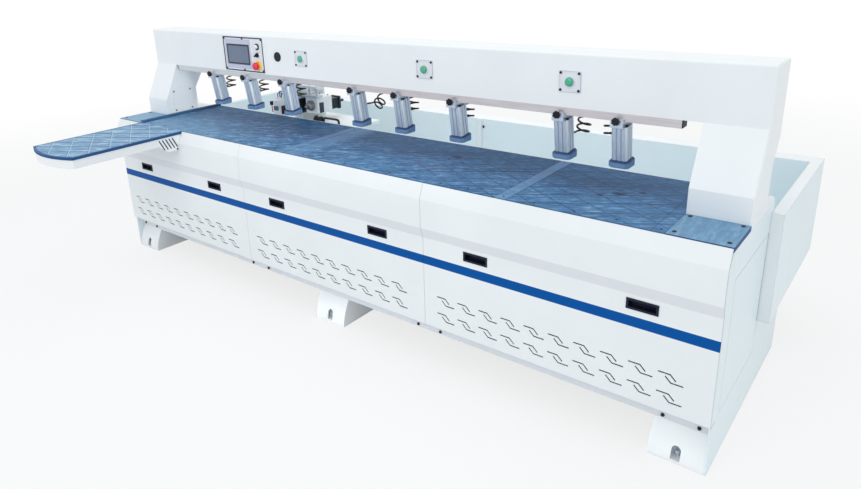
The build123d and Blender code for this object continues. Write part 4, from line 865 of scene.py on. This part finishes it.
def hoseRoute(x, kind):  # coil: middle + axis * pitch * turns + radius * (across cos t + depth sin t)
    side, slope, beamX, slack, rise = hoseKinds[kind]
    port, out = np.array(hoses.port), np.array(hoses.out)
    axis = np.array([slope, 0, 1]) / np.hypot(slope, 1)
    across = np.cross(axis, (0, 1, 0))
    angle = np.linspace(np.pi, (2 * hoses.turns + 1) * np.pi, hoses.points * hoses.turns + 1)
    radius = hoses.coil + hoses.uneven * np.sin(angle * hoses.drift + x)  # turns differ a little in size
    ring = -np.cos(angle)[:, None] * across - np.sin(angle)[:, None] * np.array([0, 1, 0])
    climb = axis * (hoses.pitch * (angle - np.pi) / (2 * np.pi))[:, None]
    coil = np.array([side, *hoses.middle]) + climb + ring * radius[:, None]
    end = np.array([beamX, *hoses.beam])
    lead = [port, *[port + out * run for run in hoses.straight], slack, coil[0] - hoses.into]
    tail = [coil[-1] + hoses.leave, rise, *[end - (0, 0, drop) for drop in hoses.drops], end]
    mirror = (-1, 1, 1) if kind == "left" else (1, 1, 1)
    return np.concatenate([lead, coil, tail]) * mirror + (x, 0, 0)


def readSpline(name, route):  # points along a smooth spline near the route
    curve = bpy.data.curves.new(name, "CURVE")
    curve.dimensions = "3D"
    spline = curve.splines.new("NURBS")
    spline.points.add(len(route) - 1)
    spline.points.foreach_set("co", np.column_stack([route, np.ones(len(route))]).astype(np.float32).ravel())
    spline.order_u = 3
    spline.use_endpoint_u = True
    spline.resolution_u = 4
    line = bpy.data.objects.new(name, curve)
    read = bpy.data.meshes.new_from_object(line)
    points = np.zeros(len(read.vertices) * 3)
    read.vertices.foreach_get("co", points)
    bpy.data.objects.remove(line)
    bpy.data.meshes.remove(read)
    return points.reshape(-1, 3)


for number, x, kind in zip(clampNumbers, clampXs, hoseOrder):
    points = readSpline(f"hoseLine{number}", place(hoseRoute(x, kind)))
    shape = tube(points, hoses.diameter / 2000, hoses.sides)
    hose = build(f"air_hose_{number}", shape, None, "hoseBlack", ["air_hoses"], placed=True)
    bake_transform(hose)

# Chuck with its screws, and a twist bit of radius r (1 + d cos(2t + k h)) carried along the axis
chuck = Values(
    spot=(1013, 668, 896), sides=60, ridges=20, ridge=0.012,
    profile=((11.9, -37), (11.9, 0.4), (29, 0.4), (30, 1.4), (30, 12.6), (29, 14), (23.5, 14.2), (23, 15.5),
             (22.4, 20), (21.2, 20.6), (21.2, 23), (22, 23.6), (20.8, 31), (19, 32.4), (6, 32.6)),
    screw=(3.2, 3), screws=4, circle=26.2, phase=0.6, face=14)
bit = Values(taper=((32, 5), (53.5, 5), (57.5, 0.3)), rows=40, sides=24, flute=0.22, twist=0.42)
height, radius = np.array(bit.taper).T
along = np.linspace(height[0], height[-1], bit.rows)[:, None]
angle = around(bit.sides)
radius = np.interp(along, height, radius) * (1 + bit.flute * np.cos(2 * angle + bit.twist * along))
twist = loft(grid(radius * np.cos(angle), radius * np.sin(angle), along))
chuckBody = lathe(chuck.profile, chuck.sides, chuck.ridges, chuck.ridge)
build("chuck_body", setOn(join(chuckBody, twist), "front", chuck.spot), "chuck", "chuckSteel", ["drill_chuck"])
x, y, z = chuck.spot
angle = around(chuck.screws) + chuck.phase
chuckSpots = grid(x + chuck.circle * np.cos(angle), y - chuck.face, z + chuck.circle * np.sin(angle))
screwOn("chuck_screws", chuck.screw, "front", chuckSpots, "chuck")

# Louvred grille on the motor's side
grille = Values(
    spot=(1061, 701, 882), width=34, height=60, corner=3, ribs=9, steps=8, margin=4, low=0.4, rise=1.2, frame=4.2,
    holeCorner=1, frameHeight=2.2)
wide, tall = grille.width - grille.margin, grille.height - grille.margin
upright = np.linspace(-0.5, 0.5, grille.steps * grille.ribs + 1)[:, None] * tall
sideways = np.linspace(-0.5, 0.5, 2)[None] * wide
wave = 0.5 + 0.5 * np.cos(upright / tall * 2 * np.pi * grille.ribs)
louvres = sheet(grid(sideways, upright, grille.low + grille.rise * wave))
hole = (grille.width - grille.frame, grille.height - grille.frame, grille.holeCorner)
surround = frameRing((grille.width, grille.height, grille.corner), hole, grille.frameHeight)
build("motor_grille", setOn(join(louvres, surround), "right", grille.spot), "spindle", "navyPlastic")

# Valve block: coils, push-in fittings and air lines
valve = Values(
    coil=((0, 0), (0, 12), (1.5, 14)), block=((0, 0), (0, 9), (1.5, 10.5)), blueSize=(30, 26, 3),
    blueSpot=(731, 640, 856), blackSize=(30, 50, 3), blackSpot=(764, 662, 846), blockSize=(20, 24, 3),
    blockSpot=(675, 652, 880), nozzle=((8, 0), (9, 1), (9, 9), (7.4, 10.5), (7.4, 15), (5, 16), (0.1, 16)), sides=28,
    leftSpots=((700, 660, 858), (700, 660, 884)), topSpots=((905, 668, 1012), (905, 692, 1012)), lineRadius=3.2,
    lineSides=10)
airLines = {  # route, which way each of its points moves aside, how far for each line, look and slot
    "valve_lines_blue": (
        ((716, 670, 914), (716, 668, 934), (735, 664, 948), (775, 660, 944), (812, 664, 930),
         (842, 676, 905), (868, 690, 892)),
        ((1, 1, 0), (1, 1, 0), (1, 0, 1), (0, 1, 1), (0, 1, 0), (0, 1, 0), (0, 1, 0)),
        (0, 9), "bluePlastic", "navy_plastic"),
    "valve_line_red": (
        ((684, 660, 884), (676, 654, 890), (676, 648, 876), (682, 644, 850), (688, 642, 826)),
        (0, 0, 0), (0,), "redPlastic", "red_plastic"),
    "valve_lines_black": (
        ((748, 670, 914), (750, 670, 936), (775, 676, 960), (830, 684, 985), (880, 672, 1018),
         (900, 668, 1032), (905, 668, 1024)),
        (0, 1, 0), (0, 24), "hoseBlack", "hose_black"),
}
blueCoil = setOn(slab(*valve.blueSize, valve.coil), "front", valve.blueSpot)
build("valve_coil", blueCoil, "saddle", "tealPlastic")
nozzle = lathe(valve.nozzle, valve.sides)
fittings = join(setOn(slab(*valve.blackSize, valve.coil), "right", valve.blackSpot),
                setOn(nozzle, "left", *valve.leftSpots),
                setOn(slab(*valve.blockSize, valve.block), "front", valve.blockSpot),
                setOn(nozzle, "top", *valve.topSpots))
build("valve_fittings", fittings, "saddle", "blackPlastic")
for name, (route, aside, apart, look, slot) in airLines.items():
    paths = [smoothPath(np.array(route) + np.array(aside) * distance) for distance in apart]
    lines = [tube(path, valve.lineRadius, valve.lineSides) for path in paths]
    build(name, join(*lines), "saddle", look)

# Two sensors beside the guard rod, and a small black clip beside the trough's rib
sensor = Values(
    spots=((1112, 604, 790), (1150, 604, 790)), size=(30, 24, 5), profile=((1, 0), (0, 1), (0, 52), (4, 58), (5, 66)))
build("guard_sensors", setOn(slab(*sensor.size, sensor.profile), "top", *sensor.spots), "saddle",
      "blackPlastic")
clip = Values(
    spot=(1810, 1292, 733), size=(9, 14, 3), screw=(3, 2.4), face=6.4, profile=((0.6, 0), (0, 0.8), (0, 5), (1.2, 6.4)))
clipShape = join(slab(*clip.size, clip.profile), moved(screw(*clip.screw), (0, 0, clip.face)))
build("trough_clip", setOn(clipShape, "front", clip.spot), "bed", "blackPlastic")
print("drill details made")


# Pale floor that fades to white, soft studio light
def seenRays():  # 1 for what is looked at, straight or in a reflection
    path = add("LightPath").outputs
    return most(path["Is Camera Ray"], path["Is Glossy Ray"], path["Is Transmission Ray"])


ground = Values(half=40, fade=(3.2, 7.5, 0.76, 1), colour=(0.8, 0.81, 0.82, 1), roughness=0.9, specular=0.1)
studio = Values(light=(0.95, 0.98, 1, 1), strength=0.8, white=(1, 1, 1, 1))
shader, coords = startMaterial("paleFloor", ground.roughness, specular=ground.specular)
shader.inputs["Base Color"].default_value = ground.colour
away = add("VectorMath", {0: coords}, operation="LENGTH").outputs["Value"]
white = add("Emission", {"Color": studio.white, "Strength": 1}).outputs[0]
share = times(steps(away, *ground.fade), seenRays())
mixed = add("MixShader", {0: share, 1: shader.outputs[0], 2: white})
link(mixed.outputs[0], work["tree"].nodes["Material Output"].inputs["Surface"])
half = ground.half
floorMesh = bpy.data.meshes.new("floor")
floorMesh.from_pydata([(-half, -half, 0), (half, -half, 0), (half, half, 0), (-half, half, 0)], [], [(0, 1, 2, 3)])
floorMesh.materials.append(looks["paleFloor"])
floor = bpy.data.objects.new("floor", floorMesh)
scene.collection.objects.link(floor)

world = bpy.data.worlds.new("studio")
scene.world = world
world.use_nodes = True
world.node_tree.nodes.clear()
work["tree"] = world.node_tree
light = add("Background", {"Color": studio.light, "Strength": studio.strength}).outputs[0]
plain = add("Background", {"Color": studio.white, "Strength": 1}).outputs[0]
mixed = add("MixShader", {0: seenRays(), 1: light, 2: plain})
link(mixed.outputs[0], add("OutputWorld").inputs["Surface"])

lamps = dict(  # place, aim, size, power in watts, and beam in degrees
    overhead=((0.2, 0.3, 4.4), (0.1, 0.6, 0.6), (4.5, 4.5), 31, 180),
    front=((0, -5.2, 3.2), (0, 0, 0.7), (3.5, 3.5), 50, 180),
    side=((4.4, -0.9, 0.6), (1.75, -0.2, 0.4), (1.6, 1.6), 1.3, 70),
    inner=((1.3, -0.62, 1.06), (-1.54, 0.06, 1), (0.4, 0.4), 0.25, 20),
    trough=((0, 0.42, 1.95), (0, 0.93, 0.6), (3.2, 0.3), 1.2, 80),
    feet=((0.1, -1.5, 0.05), (0.1, -0.3, 0.03), (3.6, 0.06), 0.36, 16),
)
rearward = (0, 1, 0.01)  # never along a lamp's beam
for name, (spot, aim, size, power, beam) in lamps.items():
    data = bpy.data.lights.new(name, "AREA")
    data.shape = "ELLIPSE"
    data.size, data.size_y = size
    data.energy = power
    data.spread = np.radians(beam)
    back = unit(np.array(spot) - np.array(aim))
    stand(data, spot, unit(np.cross(rearward, back)), back)
print("floor and lights set")
